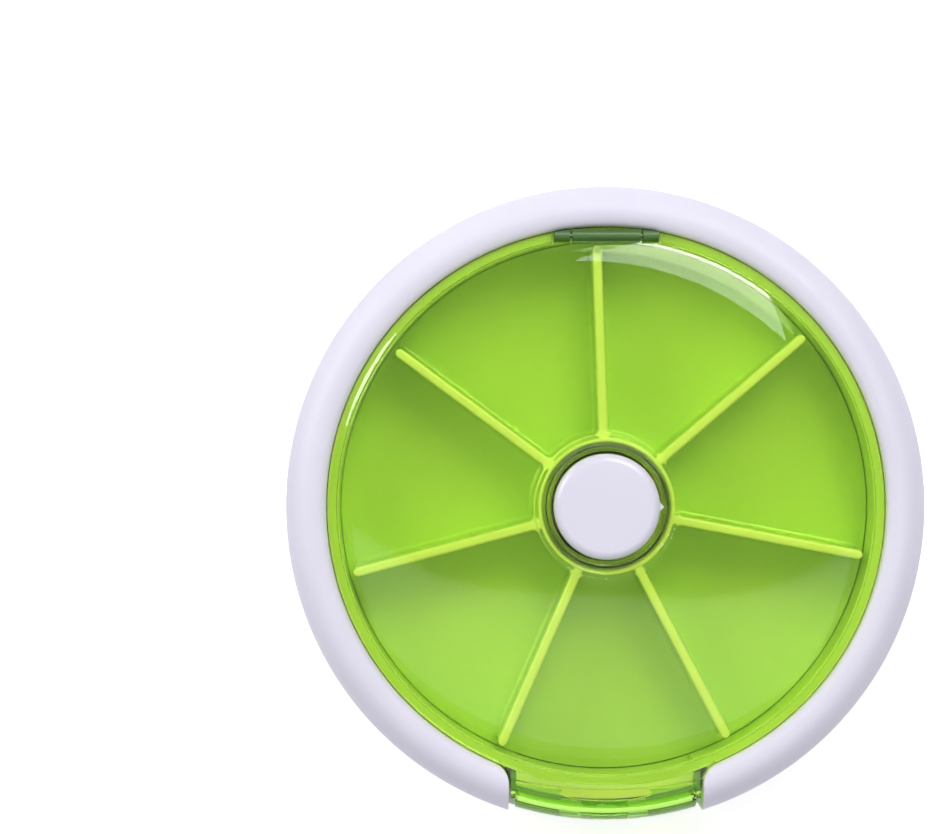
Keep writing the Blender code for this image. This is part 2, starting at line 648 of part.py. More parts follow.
def tray_and_hub():
    """The wheel: a floor and a hub, with a divider between each two compartments."""
    hub_foot = FIXED_FOOT
    ledge_top = HUB_LEDGE_FOOT + HUB_LEDGE_THICKNESS
    ledge_radius = HUB_BORE_RADIUS - HUB_LEDGE_REACH
    tray = turned(
        "pill_tray",
        [
            (HUB_BORE_RADIUS, hub_foot),
            (HUB_RADIUS, hub_foot),
            (HUB_RADIUS, TRAY_BOTTOM),
            (TRAY_RADIUS, TRAY_BOTTOM),
            (TRAY_RADIUS, TRAY_FLOOR_TOP),
            (HUB_RADIUS, TRAY_FLOOR_TOP),
            (HUB_RADIUS, HUB_TOP),
            (HUB_MOUTH_RADIUS, HUB_TOP),
            (HUB_MOUTH_RADIUS, ledge_top),
            (ledge_radius, ledge_top),
            (ledge_radius, HUB_LEDGE_FOOT),
            (HUB_BORE_RADIUS, HUB_LEDGE_FOOT),
        ],
    )
    half = DIVIDER_THICKNESS / 2
    inner = (HUB_RADIUS + HUB_MOUTH_RADIUS) / 2
    end = arc((DIVIDER_END_RADIUS - half, 0), half, -math.pi / 2, math.pi / 2, 6)
    outline = [(inner, half), (inner, -half), *end]
    low = TRAY_FLOOR_TOP - TRAY_FLOOR_THICKNESS / 2
    bm = bmesh.new()
    for number in range(COMPARTMENT_COUNT):
        turn = Matrix.Rotation(divider_angle(number), 4, "Z")
        face = bm.faces.new([bm.verts.new(turn @ Vector((x, y, low))) for x, y in outline])
        raised = bmesh.ops.extrude_face_region(bm, geom=[face])["geom"]
        corners = [item for item in raised if isinstance(item, bmesh.types.BMVert)]
        bmesh.ops.translate(bm, verts=corners, vec=(0, 0, DIVIDER_TOP - low))
    join(tray, put_in_scene("dividers", bm))
    bm = bmesh.new()
    bump_radius = Vector(leaf_point(1)).length
    bump_turn = math.atan2(leaf_point(1)[1], leaf_point(1)[0])
    for number in range(COMPARTMENT_COUNT):
        turn = bump_turn + number * STEP_ANGLE
        place = (bump_radius * math.cos(turn), bump_radius * math.sin(turn))
        start = (*place, TRAY_BOTTOM - CUT_OVERRUN)
        add_rod(bm, start, (*place, TRAY_BOTTOM + DIMPLE_DEPTH), DIMPLE_RADIUS)
    cut(tray, put_in_scene("tray_dimples", bm))
    return tray


def divider_angle(number):
    """The direction of a divider: one points almost straight at the lid's hinge."""
    return math.pi / 2 + TRAY_REST_TURN + number * STEP_ANGLE


def ratchet_ring():
    """The toothed ring inside the hub, on which the pawls push."""
    ring = turned(
        "ratchet_ring",
        [
            (0, RATCHET_FOOT),
            (RATCHET_RADIUS, RATCHET_FOOT),
            (RATCHET_RADIUS, RATCHET_FOOT + RATCHET_HEIGHT),
            (0, RATCHET_FOOT + RATCHET_HEIGHT),
        ],
        steps=RATCHET_TEETH * 4,
    )
    pitch = math.tau / RATCHET_TEETH
    outline = []
    for tooth in range(RATCHET_TEETH):
        for share, radius in ((RATCHET_FACE_SHARE, RATCHET_TIP_RADIUS), (1, RATCHET_ROOT_RADIUS)):
            turn = (tooth + share) * pitch
            outline.append((radius * math.cos(turn), radius * math.sin(turn)))
    low = RATCHET_FOOT - CUT_OVERRUN
    cut(ring, prism("ratchet_teeth", outline, low, RATCHET_FOOT + RATCHET_HEIGHT + CUT_OVERRUN))
    return ring


def dome(inset):
    """The lid's outside, or its inside at a wall's thickness, from the collar to the skirt."""
    edge = LID_RADIUS - inset
    rise = LID_EDGE_RISE - inset
    points = []
    for i in range(LID_STEPS + 1):
        share = math.sin(math.pi / 2 * i / LID_STEPS)
        radius = LID_COLLAR_RADIUS + (edge - LID_COLLAR_RADIUS) * share
        out = radius / edge
        shoulder = rise * math.sqrt(max(0, 1 - out**LID_EDGE_POWER))
        points.append((radius, LID_SHOULDER_FOOT + shoulder + LID_CROWN_RISE * (1 - out**2)))
    return points


def lid():
    """The clear lid: a shallow dome, a rounded shoulder, a collar round the button and a tab in the notch."""
    outside = dome(0)
    inside = dome(LID_THICKNESS)
    collar_foot = LID_CROWN_TOP - LID_THICKNESS - LID_COLLAR_DEPTH
    shell = turned(
        "lid",
        [
            (LID_HOLE_RADIUS, collar_foot),
            (LID_HOLE_RADIUS, outside[0][1]),
            *outside,
            (LID_RADIUS, LID_FOOT),
            (LID_RADIUS - LID_THICKNESS, LID_FOOT),
            *reversed(inside),
            (LID_COLLAR_RADIUS, collar_foot),
        ],
    )
    ear_front = LID_HINGE_Y - KNUCKLE_RADIUS - SEAT_GAP
    barrel_end = LID_BARREL_HALF_LENGTH
    barrel_side = barrel_end + PIN_PLAY
    skirt_inside = LID_RADIUS - LID_THICKNESS - LID_EDGE_CUT_INSET
    chord = math.sqrt(skirt_inside**2 - barrel_side**2)
    above = LID_CROWN_TOP + CUT_OVERRUN
    hinge_space = [
        (-LID_EAR_SPACE_END, CASE_RADIUS),
        (-LID_EAR_SPACE_END, ear_front),
        (-barrel_side, ear_front),
        (-barrel_side, chord),
        (barrel_side, chord),
        (barrel_side, ear_front),
        (LID_EAR_SPACE_END, ear_front),
        (LID_EAR_SPACE_END, CASE_RADIUS),
    ]
    cut(shell, prism("lid_hinge_space", hinge_space, 0, above, smooth=False))
    join(shell, lid_tab())
    axis = (LID_HINGE_Y, LID_HINGE_Z)
    barrel = rod("lid_barrel", (-barrel_end, *axis), (barrel_end, *axis), KNUCKLE_RADIUS)
    arm_end = barrel_end - PIN_PLAY
    low = (-arm_end, chord - LID_ARM_ROOT, LID_HINGE_Z - KNUCKLE_RADIUS / 2)
    arm = box("lid_arm", low, (arm_end, LID_HINGE_Y, LID_HINGE_Z + KNUCKLE_RADIUS / 2))
    join(barrel, arm)
    join(shell, barrel)
    cut(shell, hinge_bore("lid_barrel_bore", LID_HINGE_Y, LID_HINGE_Z, barrel_end, LID_PIN_RADIUS))
    key_side = KEY_HALF_WIDTH + LID_HOLE_GAP
    key_end = BUTTON_RADIUS + KEY_REACH + SEAT_GAP
    low = (LID_HOLE_RADIUS / 2, -key_side, 0)
    cut(shell, box("lid_keyway", low, (key_end, key_side, above)))
    return shell


def tab_edge(offset, half_width, steps):
    """The tab's front edge as a shallow arc, moved out by an offset, from right to left."""
    front = RING_BORE_RADIUS - LID_GAP + LID_TAB_REACH + offset
    centre = LID_TAB_EDGE_RADIUS + offset - front
    spread = math.asin(half_width / (LID_TAB_EDGE_RADIUS + offset))
    return arc(
        (0, centre), LID_TAB_EDGE_RADIUS + offset, -math.pi / 2 + spread, -math.pi / 2 - spread, steps
    )


def lid_tab():
    """The lid's tab, which fills the inner part of the notch."""
    inner = RING_BORE_RADIUS / 2
    tab = prism("lid_tab", notch_outline(LID_GAP, CASE_RADIUS), LID_FOOT, LID_FOOT + LID_TAB_THICKNESS)
    edge = tab_edge(0, NOTCH_HALF_WIDTH, CROWN_STEPS * 2)
    top = LID_FOOT + LID_TAB_THICKNESS + CUT_OVERRUN
    region = prism(
        "lid_tab_front",
        [(-NOTCH_HALF_WIDTH * 2, -inner), *((-x, y) for x, y in edge), (NOTCH_HALF_WIDTH * 2, -inner)],
        0,
        top,
    )
    trim(tab, region)
    root = LID_RADIUS - LID_THICKNESS * LID_TAB_ROOT_SHARE
    core = turned(
        "lid_tab_core",
        [
            (0, LID_FOOT - CUT_OVERRUN),
            (root, LID_FOOT - CUT_OVERRUN),
            (root, top),
            (0, top),
        ],
    )
    cut(tab, core)
    return tab


def dispensing_door():
    """The door: a curved wall with a rounded top that reaches in to the lid's tab."""
    half_width = NOTCH_HALF_WIDTH - DOOR_END_GAP
    foot = FLOOR_TOP + DOOR_FOOT_GAP
    top = RING_CREST_TOP - DOOR_TOP_DROP
    crest = RING_CREST_RADIUS
    shoulder = RING_SHOULDER - DOOR_TOP_DROP / 2
    inner = LID_RADIUS

    def bend(radius_out, height_out, steps):
        turns = [math.pi / 2 * i / steps for i in range(steps + 1)]
        return [
            (
                crest + (radius_out - crest) * math.sin(turn),
                shoulder + (height_out - shoulder) * math.cos(turn),
            )
            for turn in turns
        ]

    outside = bend(DOOR_OUTER_RADIUS, top, CROWN_STEPS)
    inside = bend(DOOR_OUTER_RADIUS - DOOR_WALL, top - DOOR_WALL, 5)
    door = turned(
        "dispensing_door",
        [
            (inner, top),
            *outside,
            (DOOR_OUTER_RADIUS, foot),
            (DOOR_OUTER_RADIUS - DOOR_WALL, foot),
            *reversed(inside),
            (inner, top - DOOR_WALL),
        ],
    )
    above = RING_CREST_TOP + CUT_OVERRUN
    reach = CASE_RADIUS + CUT_OVERRUN
    edge = tab_edge(DOOR_EDGE_GAP, half_width, CROWN_STEPS * 2)
    outline = [*edge, (-half_width, -reach), (half_width, -reach)]
    trim(door, prism("door_width", outline, 0, above))
    recess_middle = LID_RADIUS + LID_TAB_REACH + DOOR_EDGE_GAP
    steps = CROWN_STEPS * 2
    recess = [
        (
            NAIL_RECESS_HALF_WIDTH * math.cos(math.tau * i / steps),
            NAIL_RECESS_DEPTH * math.sin(math.tau * i / steps) - recess_middle,
        )
        for i in range(steps)
    ]
    cut(door, prism("nail_recess", recess, top - DOOR_WALL - CUT_OVERRUN / 2, above))
    axis = (DOOR_HINGE_Y, DOOR_HINGE_Z)
    lug_inner = DOOR_BARREL_HALF_LENGTH
    lug_outer = DOOR_LUG_END + SEAT_GAP
    lug_top = DOOR_HINGE_Z + DOOR_KNUCKLE_RADIUS + SEAT_GAP
    bm = bmesh.new()
    add_box(bm, (-lug_outer, -reach, 0), (-lug_inner - PIN_PLAY, -inner, lug_top))
    add_box(bm, (lug_inner + PIN_PLAY, -reach, 0), (lug_outer, -inner, lug_top))
    cut(door, put_in_scene("door_lug_spaces", bm, smooth=False))
    barrel = rod("door_barrel", (-lug_inner, *axis), (lug_inner, *axis), DOOR_KNUCKLE_RADIUS)
    join(door, barrel)
    cut(door, hinge_bore("door_barrel_bore", *axis, lug_inner, DOOR_PIN_RADIUS))
    snap_y = DOOR_WALL / 2 - RING_CREST_RADIUS
    snap_z = top - DOOR_WALL / 2
    for side, label in ((-1, "left"), (1, "right")):
        start = (side * (half_width - JOIN_DEPTH), snap_y, snap_z)
        end = (side * (half_width + DOOR_SNAP_REACH), snap_y, snap_z)
        join(door, rod(f"door_snap_{label}", start, end, DOOR_SNAP_RADIUS))
    return door


def hinge_pin(name, y, z, half_length, radius):
    """A steel pin along X."""
    return rod(name, (-half_length, y, z), (half_length, y, z), radius)


def push_button():
    """The round cap, with a small key on its +X side that runs in the lid's keyway."""
    skirt_foot = BUTTON_TOP - BUTTON_SKIRT_DEPTH
    inner = BUTTON_RADIUS - BUTTON_SKIRT_WALL
    edge = [
        (
            BUTTON_RADIUS - BUTTON_EDGE_ROUND * (1 - across),
            BUTTON_TOP - BUTTON_EDGE_ROUND * down,
        )
        for across, down in BUTTON_EDGE_SHARES
    ]
    cap = turned(
        "push_button",
        [
            (0, BUTTON_TOP),
            *edge,
            (BUTTON_RADIUS, skirt_foot),
            (inner, skirt_foot),
            (inner, BUTTON_CEILING),
            (0, BUTTON_CEILING),
        ],
        steps=SMALL_STEPS * 2,
    )
    low = (BUTTON_RADIUS - BUTTON_SKIRT_WALL / 2, -KEY_HALF_WIDTH, skirt_foot + CUT_OVERRUN)
    high = (BUTTON_RADIUS + KEY_REACH, KEY_HALF_WIDTH, LID_CROWN_TOP - SEAT_GAP)
    return join(cap, box("button_key", low, high))


def cam_plunger():
    """The sleeve that the button pushes down the spindle, with two lugs that turn the collar."""
    sleeve = turned(
        "cam_plunger",
        [
            (0, PLUNGER_FOOT),
            (PLUNGER_RADIUS, PLUNGER_FOOT),
            (PLUNGER_RADIUS, PLUNGER_TOP),
            (0, PLUNGER_TOP),
        ],
        steps=SMALL_STEPS,
    )
    for side, label in ((-1, "left"), (1, "right")):
        start = (side * (PLUNGER_RADIUS - JOIN_DEPTH * 2), 0, LUG_HEIGHT)
        end = (side * (COLLAR_RADIUS - LUG_INSET), 0, LUG_HEIGHT)
        join(sleeve, rod(f"plunger_lug_{label}", start, end, LUG_RADIUS))
    half = PLUNGER_BORE_HALF
    low = (-half, -half, PLUNGER_FOOT - CUT_OVERRUN)
    return cut(sleeve, box("plunger_bore", low, (half, half, PLUNGER_BORE_TOP)))


def centre_spindle():
    """The fixed square post, with a flange that holds the collar down."""
    post = turned(
        "centre_spindle",
        [
            (0, FIXED_FOOT),
            (SPINDLE_FOOT_RADIUS, FIXED_FOOT),
            (SPINDLE_FOOT_RADIUS, SPINDLE_FLANGE_FOOT),
            (SPINDLE_FLANGE_RADIUS, SPINDLE_FLANGE_FOOT),
            (SPINDLE_FLANGE_RADIUS, SPINDLE_FLANGE_TOP),
            (0, SPINDLE_FLANGE_TOP),
        ],
        steps=SMALL_STEPS,
    )
    half = SPINDLE_HALF_WIDTH
    low = (-half, -half, SPINDLE_FLANGE_TOP - JOIN_DEPTH)
    join(post, box("spindle_square", low, (half, half, SPINDLE_TOP)))
    bore_top = SCREW_RECESS_DEPTH + CENTRE_SCREW_LENGTH + SEAT_GAP
    bore = rod("spindle_bore", (0, 0, 0), (0, 0, bore_top), CENTRE_SCREW_RADIUS + PIN_PLAY)
    return cut(post, bore)


def slot_cutter(name, start_turn):
    """A cutter along a helix: the path of a lug in the collar while the button goes down."""
    inner = COLLAR_BORE_RADIUS - COLLAR_WALL / 4
    outer = COLLAR_RADIUS + SEAT_GAP / 2
    bm = bmesh.new()
    rings = []
    for i in range(SLOT_STEPS + 1):
        turn = -SLOT_END_ANGLE + (STEP_ANGLE + 2 * SLOT_END_ANGLE) * i / SLOT_STEPS
        middle = LUG_HEIGHT - SLOT_RISE_PER_RADIAN * turn
        place = (math.cos(start_turn - turn), math.sin(start_turn - turn))
        corners = (
            (inner, middle - SLOT_HALF_HEIGHT),
            (outer, middle - SLOT_HALF_HEIGHT),
            (outer, middle + SLOT_HALF_HEIGHT),
            (inner, middle + SLOT_HALF_HEIGHT),
        )
        rings.append([bm.verts.new((place[0] * r, place[1] * r, z)) for r, z in corners])
    for first, second in zip(rings, rings[1:]):
        for i in range(4):
            j = (i + 1) % 4
            bm.faces.new((first[i], first[j], second[j], second[i]))
    bm.faces.new(rings[0])
    bm.faces.new(rings[-1])
    return put_in_scene(name, bm)


def drive_collar():
    """The collar that turns one step as the lugs come down its helical slots."""
    flange_radius = COLLAR_RADIUS + COLLAR_FLANGE_REACH
    lip_radius = SPINDLE_FOOT_RADIUS + COLLAR_LIP_GAP
    collar = turned(
        "drive_collar",
        [
            (lip_radius, FIXED_FOOT),
            (COLLAR_RADIUS, FIXED_FOOT),
            (COLLAR_RADIUS, COLLAR_FLANGE_FOOT),
            (flange_radius, COLLAR_FLANGE_FOOT),
            (flange_radius, COLLAR_FLANGE_TOP),
            (COLLAR_RADIUS, COLLAR_FLANGE_TOP),
            (COLLAR_RADIUS, COLLAR_TOP),
            (COLLAR_BORE_RADIUS, COLLAR_TOP),
            (COLLAR_BORE_RADIUS, COLLAR_LIP_TOP),
            (lip_radius, COLLAR_LIP_TOP),
        ],
        steps=SMALL_STEPS * 2,
    )
    for number in range(SLOT_COUNT):
        cut(collar, slot_cutter(f"collar_slot_{number + 1}", math.tau * number / SLOT_COUNT))
    return collar


def pawl_wheel():
    """The springy ring on the collar, with the pawls that push the ratchet one way."""
    bore = COLLAR_RADIUS + SEAT_GAP
    steps = 8
    outline = []
    for pawl in range(PAWL_COUNT):
        for i in range(steps):
            turn = math.tau * (pawl + i / (steps - PAWL_FACE_SHARE)) / PAWL_COUNT
            radius = PAWL_RING_RADIUS + PAWL_REACH * max(0, 2 * i / (steps - 1) - 1)
            outline.append((radius * math.cos(turn), radius * math.sin(turn)))
    wheel = prism("pawl_wheel", outline, PAWL_FOOT, PAWL_FOOT + PAWL_THICKNESS)
    start = (0, 0, PAWL_FOOT - CUT_OVERRUN)
    end = (0, 0, PAWL_FOOT + PAWL_THICKNESS + CUT_OVERRUN)
    return cut(wheel, rod("pawl_bore", start, end, bore, SMALL_STEPS * 2))


def return_spring():
    """The coil spring that lifts the button: one unbroken wire."""
    low = SPINDLE_TOP + SEAT_GAP + SPRING_WIRE_RADIUS
    high = PLUNGER_BORE_TOP - SEAT_GAP - SPRING_WIRE_RADIUS
    count = SPRING_TURNS * SPRING_POINTS_A_TURN
    points = []
    for i in range(count + 1):
        turn = math.tau * i / SPRING_POINTS_A_TURN
        x = SPRING_COIL_RADIUS * math.cos(turn)
        y = SPRING_COIL_RADIUS * math.sin(turn)
        points.append(Vector((x, y, low + (high - low) * i / count)))
    gap = least_gap(points, SPRING_POINTS_A_TURN // 2)
    print(f"return_spring: least gap between turns {(gap - 2 * SPRING_WIRE_RADIUS) * 1000:.2f} mm")
    curve = bpy.data.curves.new("return_spring", "CURVE")
    curve.dimensions = "3D"
    curve.bevel_depth = SPRING_WIRE_RADIUS
    curve.bevel_resolution = 1
    curve.use_fill_caps = True
    line = curve.splines.new("POLY")
    line.points.add(count)
    for point, place in zip(line.points, points):
        point.co = (*place, 1)
    item = bpy.data.objects.new("return_spring", curve)
    bpy.context.scene.collection.objects.link(item)
    return item


def least_gap(points, apart):
    """The least distance between points of a line that are at least so many steps apart."""
    return min(
        (a - b).length for i, a in enumerate(points) for b in points[i + apart :]
    )


def leaf_point(share):
    """A point along the detent leaf, 0 at its rivet and 1 at its bump."""
    outwards = Vector((math.cos(LEAF_DIRECTION), math.sin(LEAF_DIRECTION)))
    along = Vector((-outwards.y, outwards.x))
    reach = LEAF_LENGTH / 2 - LEAF_END_SPACE
    place = outwards * LEAF_CIRCLE_RADIUS + along * reach * (2 * share - 1)
    return (place.x, place.y)


def detent_leaf():
    """The leaf spring whose bump finds a dimple under the wheel at each step."""
    foot = FIXED_FOOT
    top = foot + LEAF_THICKNESS
    outwards = Vector((math.cos(LEAF_DIRECTION), math.sin(LEAF_DIRECTION)))
    along = Vector((-outwards.y, outwards.x))
    middle = outwards * LEAF_CIRCLE_RADIUS
    corners = [
        middle + along * LEAF_LENGTH / 2 * a + outwards * LEAF_WIDTH / 2 * b
        for a, b in ((-1, -1), (1, -1), (1, 1), (-1, 1))
    ]
    leaf = prism("detent_leaf", [(p.x, p.y) for p in corners], foot, top, smooth=False)
    bump = Vector((*leaf_point(1), top))
    across = Vector((outwards.x, outwards.y, 0)) * LEAF_WIDTH * LEAF_BUMP_HALF_LENGTH_SHARE
    low = TRAY_BOTTOM - SEAT_GAP - LEAF_BUMP_RADIUS
    bump.z = low
    join(leaf, rod("leaf_bump", bump - across, bump + across, LEAF_BUMP_RADIUS))
    rivet = leaf_point(0)
    hole = rod("leaf_hole", (*rivet, 0), (*rivet, top + CUT_OVERRUN), RIVET_RADIUS + PIN_PLAY)
    cut(leaf, hole)
    foot_cut = box(
        "leaf_foot_plane",
        (-CASE_RADIUS, -CASE_RADIUS, -CUT_OVERRUN),
        (CASE_RADIUS, CASE_RADIUS, foot),
    )
    return cut(leaf, foot_cut)


def headed_pin(name, place, foot, head_foot, head_top, radius, head_radius):
    """A rivet: a shank in the floor under a flat head."""
    pin = turned(
        name,
        [
            (0, foot),
            (radius, foot),
            (radius, head_foot),
            (head_radius, head_foot),
            (head_radius, head_top),
            (0, head_top),
        ],
        steps=PIN_STEPS,
    )
    pin.location = (*place, 0)
    return pin


def screw(name, place, radius, head_radius, length):
    """A screw driven up from below, with a cross recess in its head."""
    head_foot = SCREW_RECESS_DEPTH - SCREW_HEAD_THICKNESS
    head_top = SCREW_RECESS_DEPTH - SCREW_HOLE_GAP / 2
    item = turned(
        name,
        [
            (0, head_foot),
            (head_radius, head_foot),
            (head_radius, head_top),
            (radius, head_top),
            (radius, SCREW_RECESS_DEPTH + length),
            (0, SCREW_RECESS_DEPTH + length),
        ],
        steps=PIN_STEPS,
    )
    item.location = (*place, 0)
    half = head_radius * DRIVER_CROSS_HALF_WIDTH_SHARE
    reach = head_radius * DRIVER_CROSS_REACH_SHARE
    top = head_foot + SCREW_HEAD_THICKNESS * DRIVER_CROSS_DEPTH_SHARE
    outline = []
    for along, across in ((1, 0), (0, 1), (-1, 0), (0, -1)):
        for end, side in ((half, -half), (reach, -half), (reach, half)):
            outline.append((along * end - across * side, across * end + along * side))
    cross = prism(f"{name}_cross", outline, head_foot - CUT_OVERRUN, top, smooth=False)
    cross.location = (*place, 0)
    return cut(item, cross)


def finish(item, colour, roughness, metallic=0.0):
    """Gives a piece its own material."""
    item.data.materials.append(plain_material(f"{item.name}_finish", colour, roughness, metallic))
    return item


def place_on_axis(item, name, place):
    """Hangs a moving piece under an empty that stands on its joint's axis."""
    axis = bpy.data.objects.get(name)
    if axis is None:
        axis = bpy.data.objects.new(name, None)
        axis.location = place
        bpy.context.scene.collection.objects.link(axis)
        bpy.context.view_layer.update()
    item.parent = axis
    item.matrix_parent_inverse = Matrix.Translation(-Vector(place))


def build_case():
    shell = finish(base_shell(), WHITE_PLASTIC, 0.35)
    add_door_lugs(shell)
    finish(top_ring(), WHITE_PLASTIC, 0.3)
    finish(well_liner(), GREEN_PLASTIC, 0.3)
    finish(outlet_chute(), GREEN_PLASTIC, 0.3)
    pin = hinge_pin("lid_hinge_pin", LID_HINGE_Y, LID_HINGE_Z, LID_EAR_END, LID_PIN_RADIUS)
    finish(pin, STEEL, 0.25, 1.0)
    pin = hinge_pin("door_hinge_pin", DOOR_HINGE_Y, DOOR_HINGE_Z, DOOR_LUG_END, DOOR_PIN_RADIUS)
    finish(pin, STEEL, 0.25, 1.0)
    finish(centre_spindle(), WHITE_PLASTIC, 0.4)
    centre = screw(
        "spindle_screw",
        (0, 0),
        CENTRE_SCREW_RADIUS,
        CENTRE_SCREW_HEAD_RADIUS,
        CENTRE_SCREW_LENGTH,
    )
    finish(centre, DARK_STEEL, 0.35, 1.0)
    for number, place in enumerate(case_screw_places(), 1):
        item = screw(
            f"case_screw_{number}",
            place,
            CASE_SCREW_RADIUS,
            CASE_SCREW_HEAD_RADIUS,
            CASE_SCREW_LENGTH,
        )
        finish(item, DARK_STEEL, 0.35, 1.0)
    finish(detent_leaf(), STEEL, 0.3, 1.0)
    leaf_top = FIXED_FOOT + LEAF_THICKNESS
    head_foot = leaf_top + SEAT_GAP
    rivet = headed_pin(
        "detent_rivet",
        leaf_point(0),
        FLOOR_TOP - RIVET_DEPTH,
        head_foot,
        head_foot + RIVET_HEAD_THICKNESS,
        RIVET_RADIUS,
        RIVET_HEAD_RADIUS,
    )
    finish(rivet, STEEL, 0.3, 1.0)


def build_moving_parts():
    cover = finish(lid(), CLEAR_GREEN, 0.08)
    place_on_axis(cover, "lid_axis", (0, LID_HINGE_Y, LID_HINGE_Z))
    door = finish(dispensing_door(), GREEN_PLASTIC, 0.15)
    place_on_axis(door, "door_axis", (0, DOOR_HINGE_Y, DOOR_HINGE_Z))
    for item in (finish(tray_and_hub(), GREEN_PLASTIC, 0.3), finish(ratchet_ring(), GREEN_PLASTIC, 0.4)):
        place_on_axis(item, "tray_axis", (0, 0, TRAY_BOTTOM))
    for item in (finish(push_button(), WHITE_PLASTIC, 0.3), finish(cam_plunger(), WHITE_PLASTIC, 0.4)):
        place_on_axis(item, "button_axis", (0, 0, BUTTON_TOP))
    for item in (finish(drive_collar(), WHITE_PLASTIC, 0.4), finish(pawl_wheel(), WHITE_PLASTIC, 0.4)):
        place_on_axis(item, "drive_axis", (0, 0, FIXED_FOOT))
    finish(return_spring(), STEEL, 0.25, 1.0)


clear_scene()
build_case()
build_moving_parts()
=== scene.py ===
"""Looks of a rotating pill organizer: visible pieces in fine meshes, materials, light and camera.

Lengths are in metres, +Z is up, and the organizer lies on the floor at the origin.
"""

import math

import bmesh
import bpy
from mathutils import Matrix, Vector


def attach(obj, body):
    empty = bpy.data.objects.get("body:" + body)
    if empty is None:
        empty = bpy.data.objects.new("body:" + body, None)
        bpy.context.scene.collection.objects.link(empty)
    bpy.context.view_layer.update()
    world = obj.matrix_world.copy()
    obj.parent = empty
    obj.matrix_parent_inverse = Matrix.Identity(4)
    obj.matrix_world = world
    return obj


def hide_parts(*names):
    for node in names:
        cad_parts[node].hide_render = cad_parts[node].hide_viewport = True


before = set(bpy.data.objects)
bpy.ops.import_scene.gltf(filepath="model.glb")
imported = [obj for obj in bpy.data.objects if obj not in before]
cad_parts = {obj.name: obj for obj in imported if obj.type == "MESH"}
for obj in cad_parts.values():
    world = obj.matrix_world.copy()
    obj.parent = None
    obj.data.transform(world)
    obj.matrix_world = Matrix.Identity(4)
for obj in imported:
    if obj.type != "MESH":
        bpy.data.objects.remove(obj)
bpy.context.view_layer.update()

# Facets
ROUND_STEPS = 288
TRAY_STEPS = 224
CORE_STEPS = 144
HOLLOW_STEPS = 96
LID_STEPS = 48
BUTTON_STEPS = 160
PIN_STEPS = 32
RECESS_STEPS = 42
NAIL_STEPS = 40
TAB_EDGE_STEPS = 24
CROWN_STEPS = 20
DIP_STEPS = 16
FILLET_STEPS = 14
BEND_STEPS = 12
FLARE_STEPS = 8
FOOT_STEPS = 6
LID_HOLE_STEPS = 5
RIM_STEPS = 4

# Clearances and cutters
GAP = 0.0003
PLAY = 0.00008
OVER = 0.0010
FOOT_SINK = 0.0004
MERGE = 0.000002
LID_PIN_BORE = 0.00043
DOOR_PIN_BORE = 0.00048

# Rounded edges
RING_EDGE = 0.00022
SHELL_EDGE = 0.00018
WALL_EDGE = 0.00016
FINE_EDGE = 0.00012
LID_EDGE_CHAMFER = 0.0002
TRAY_EDGE_CHAMFER = 0.0001

# Case
CASE_RADIUS = 0.0450
FLOOR_TOP = 0.0016
WALL = 0.0014
FOOT_CHAMFER = 0.0010
SEAM = 0.0080
RING_BORE = 0.0392
RING_WALL = 0.0011
RING_EDGE_TOP = 0.0153
RING_CREST_TOP = 0.0163
RING_CREST = 0.0412
RING_SHOULDER = 0.0108
FIXED_FOOT = 0.0019
SKIRT_RADIUS = 0.0433
GLIDE_RIB = (0.0300, 0.0312, 0.0029)
BEARING = (0.0073, 0.0086, 0.0048)
NOTCH_HALF = 0.01365
NOTCH_FILLET = 0.0030
CHEEK = 0.0011
BOSS_RADIUS = 0.00155
SCREW_CIRCLE = 0.04145
SCREW_BORE = (0.00083, 0.0089)
SCREW_HOLE = 0.00095
SCREW_RECESS = (0.0017, 0.0009)
SPINDLE_HOLE = 0.0011
SPINDLE_RECESS = (0.0024, 0.0009)
SCREW_TURNS = (90, 210, 330)

# Fixed wall round the wheel, and the chute
LINER_RADIUS = 0.0391
LINER_INNER = 0.0375
LINER_TOP = 0.0141
OUTLET_HALF = 0.0122
SILL_TOP = 0.0040
OUTLET_TOP = 0.0126
CHUTE_CHEEK = 0.0008
CHUTE_TOP_GAP = 0.0002

# Wheel
TRAY_RADIUS = 0.03738
TRAY_BOTTOM = 0.0032
TRAY_FLOOR = 0.0044
DIVIDER_COUNT = 7
DIVIDER_HALF = 0.00065
DIVIDER_END = 0.0365
DIVIDER_TOP = 0.0144
DIVIDER_ROUND = 0.00035
DIVIDER_SINK = 0.0006
DIVIDER_FLARE = 0.0018
DIVIDER_PLACES = (0.0155, 0.0210, 0.0265, 0.0320)
TRAY_FILLET = 0.0007
HUB_RADIUS = 0.0102
HUB_MOUTH = 0.00905
HUB_BORE = 0.0089
HUB_TOP = 0.0150
HUB_LEDGE = (0.0083, 0.0082, 0.0090)
HUB_SHELF = (0.0078, 0.0102, 0.0108)
TRAY_TURN = math.radians(2.0)
FLOOR_PLACES = (0.030, 0.022, 0.016)
DIMPLE_CIRCLE = 0.022518
DIMPLE_RADIUS = 0.0009
DIMPLE_DEPTH = 0.0004
DIMPLE_TURN = math.radians(45) + math.atan2(0.0048, 0.0220)

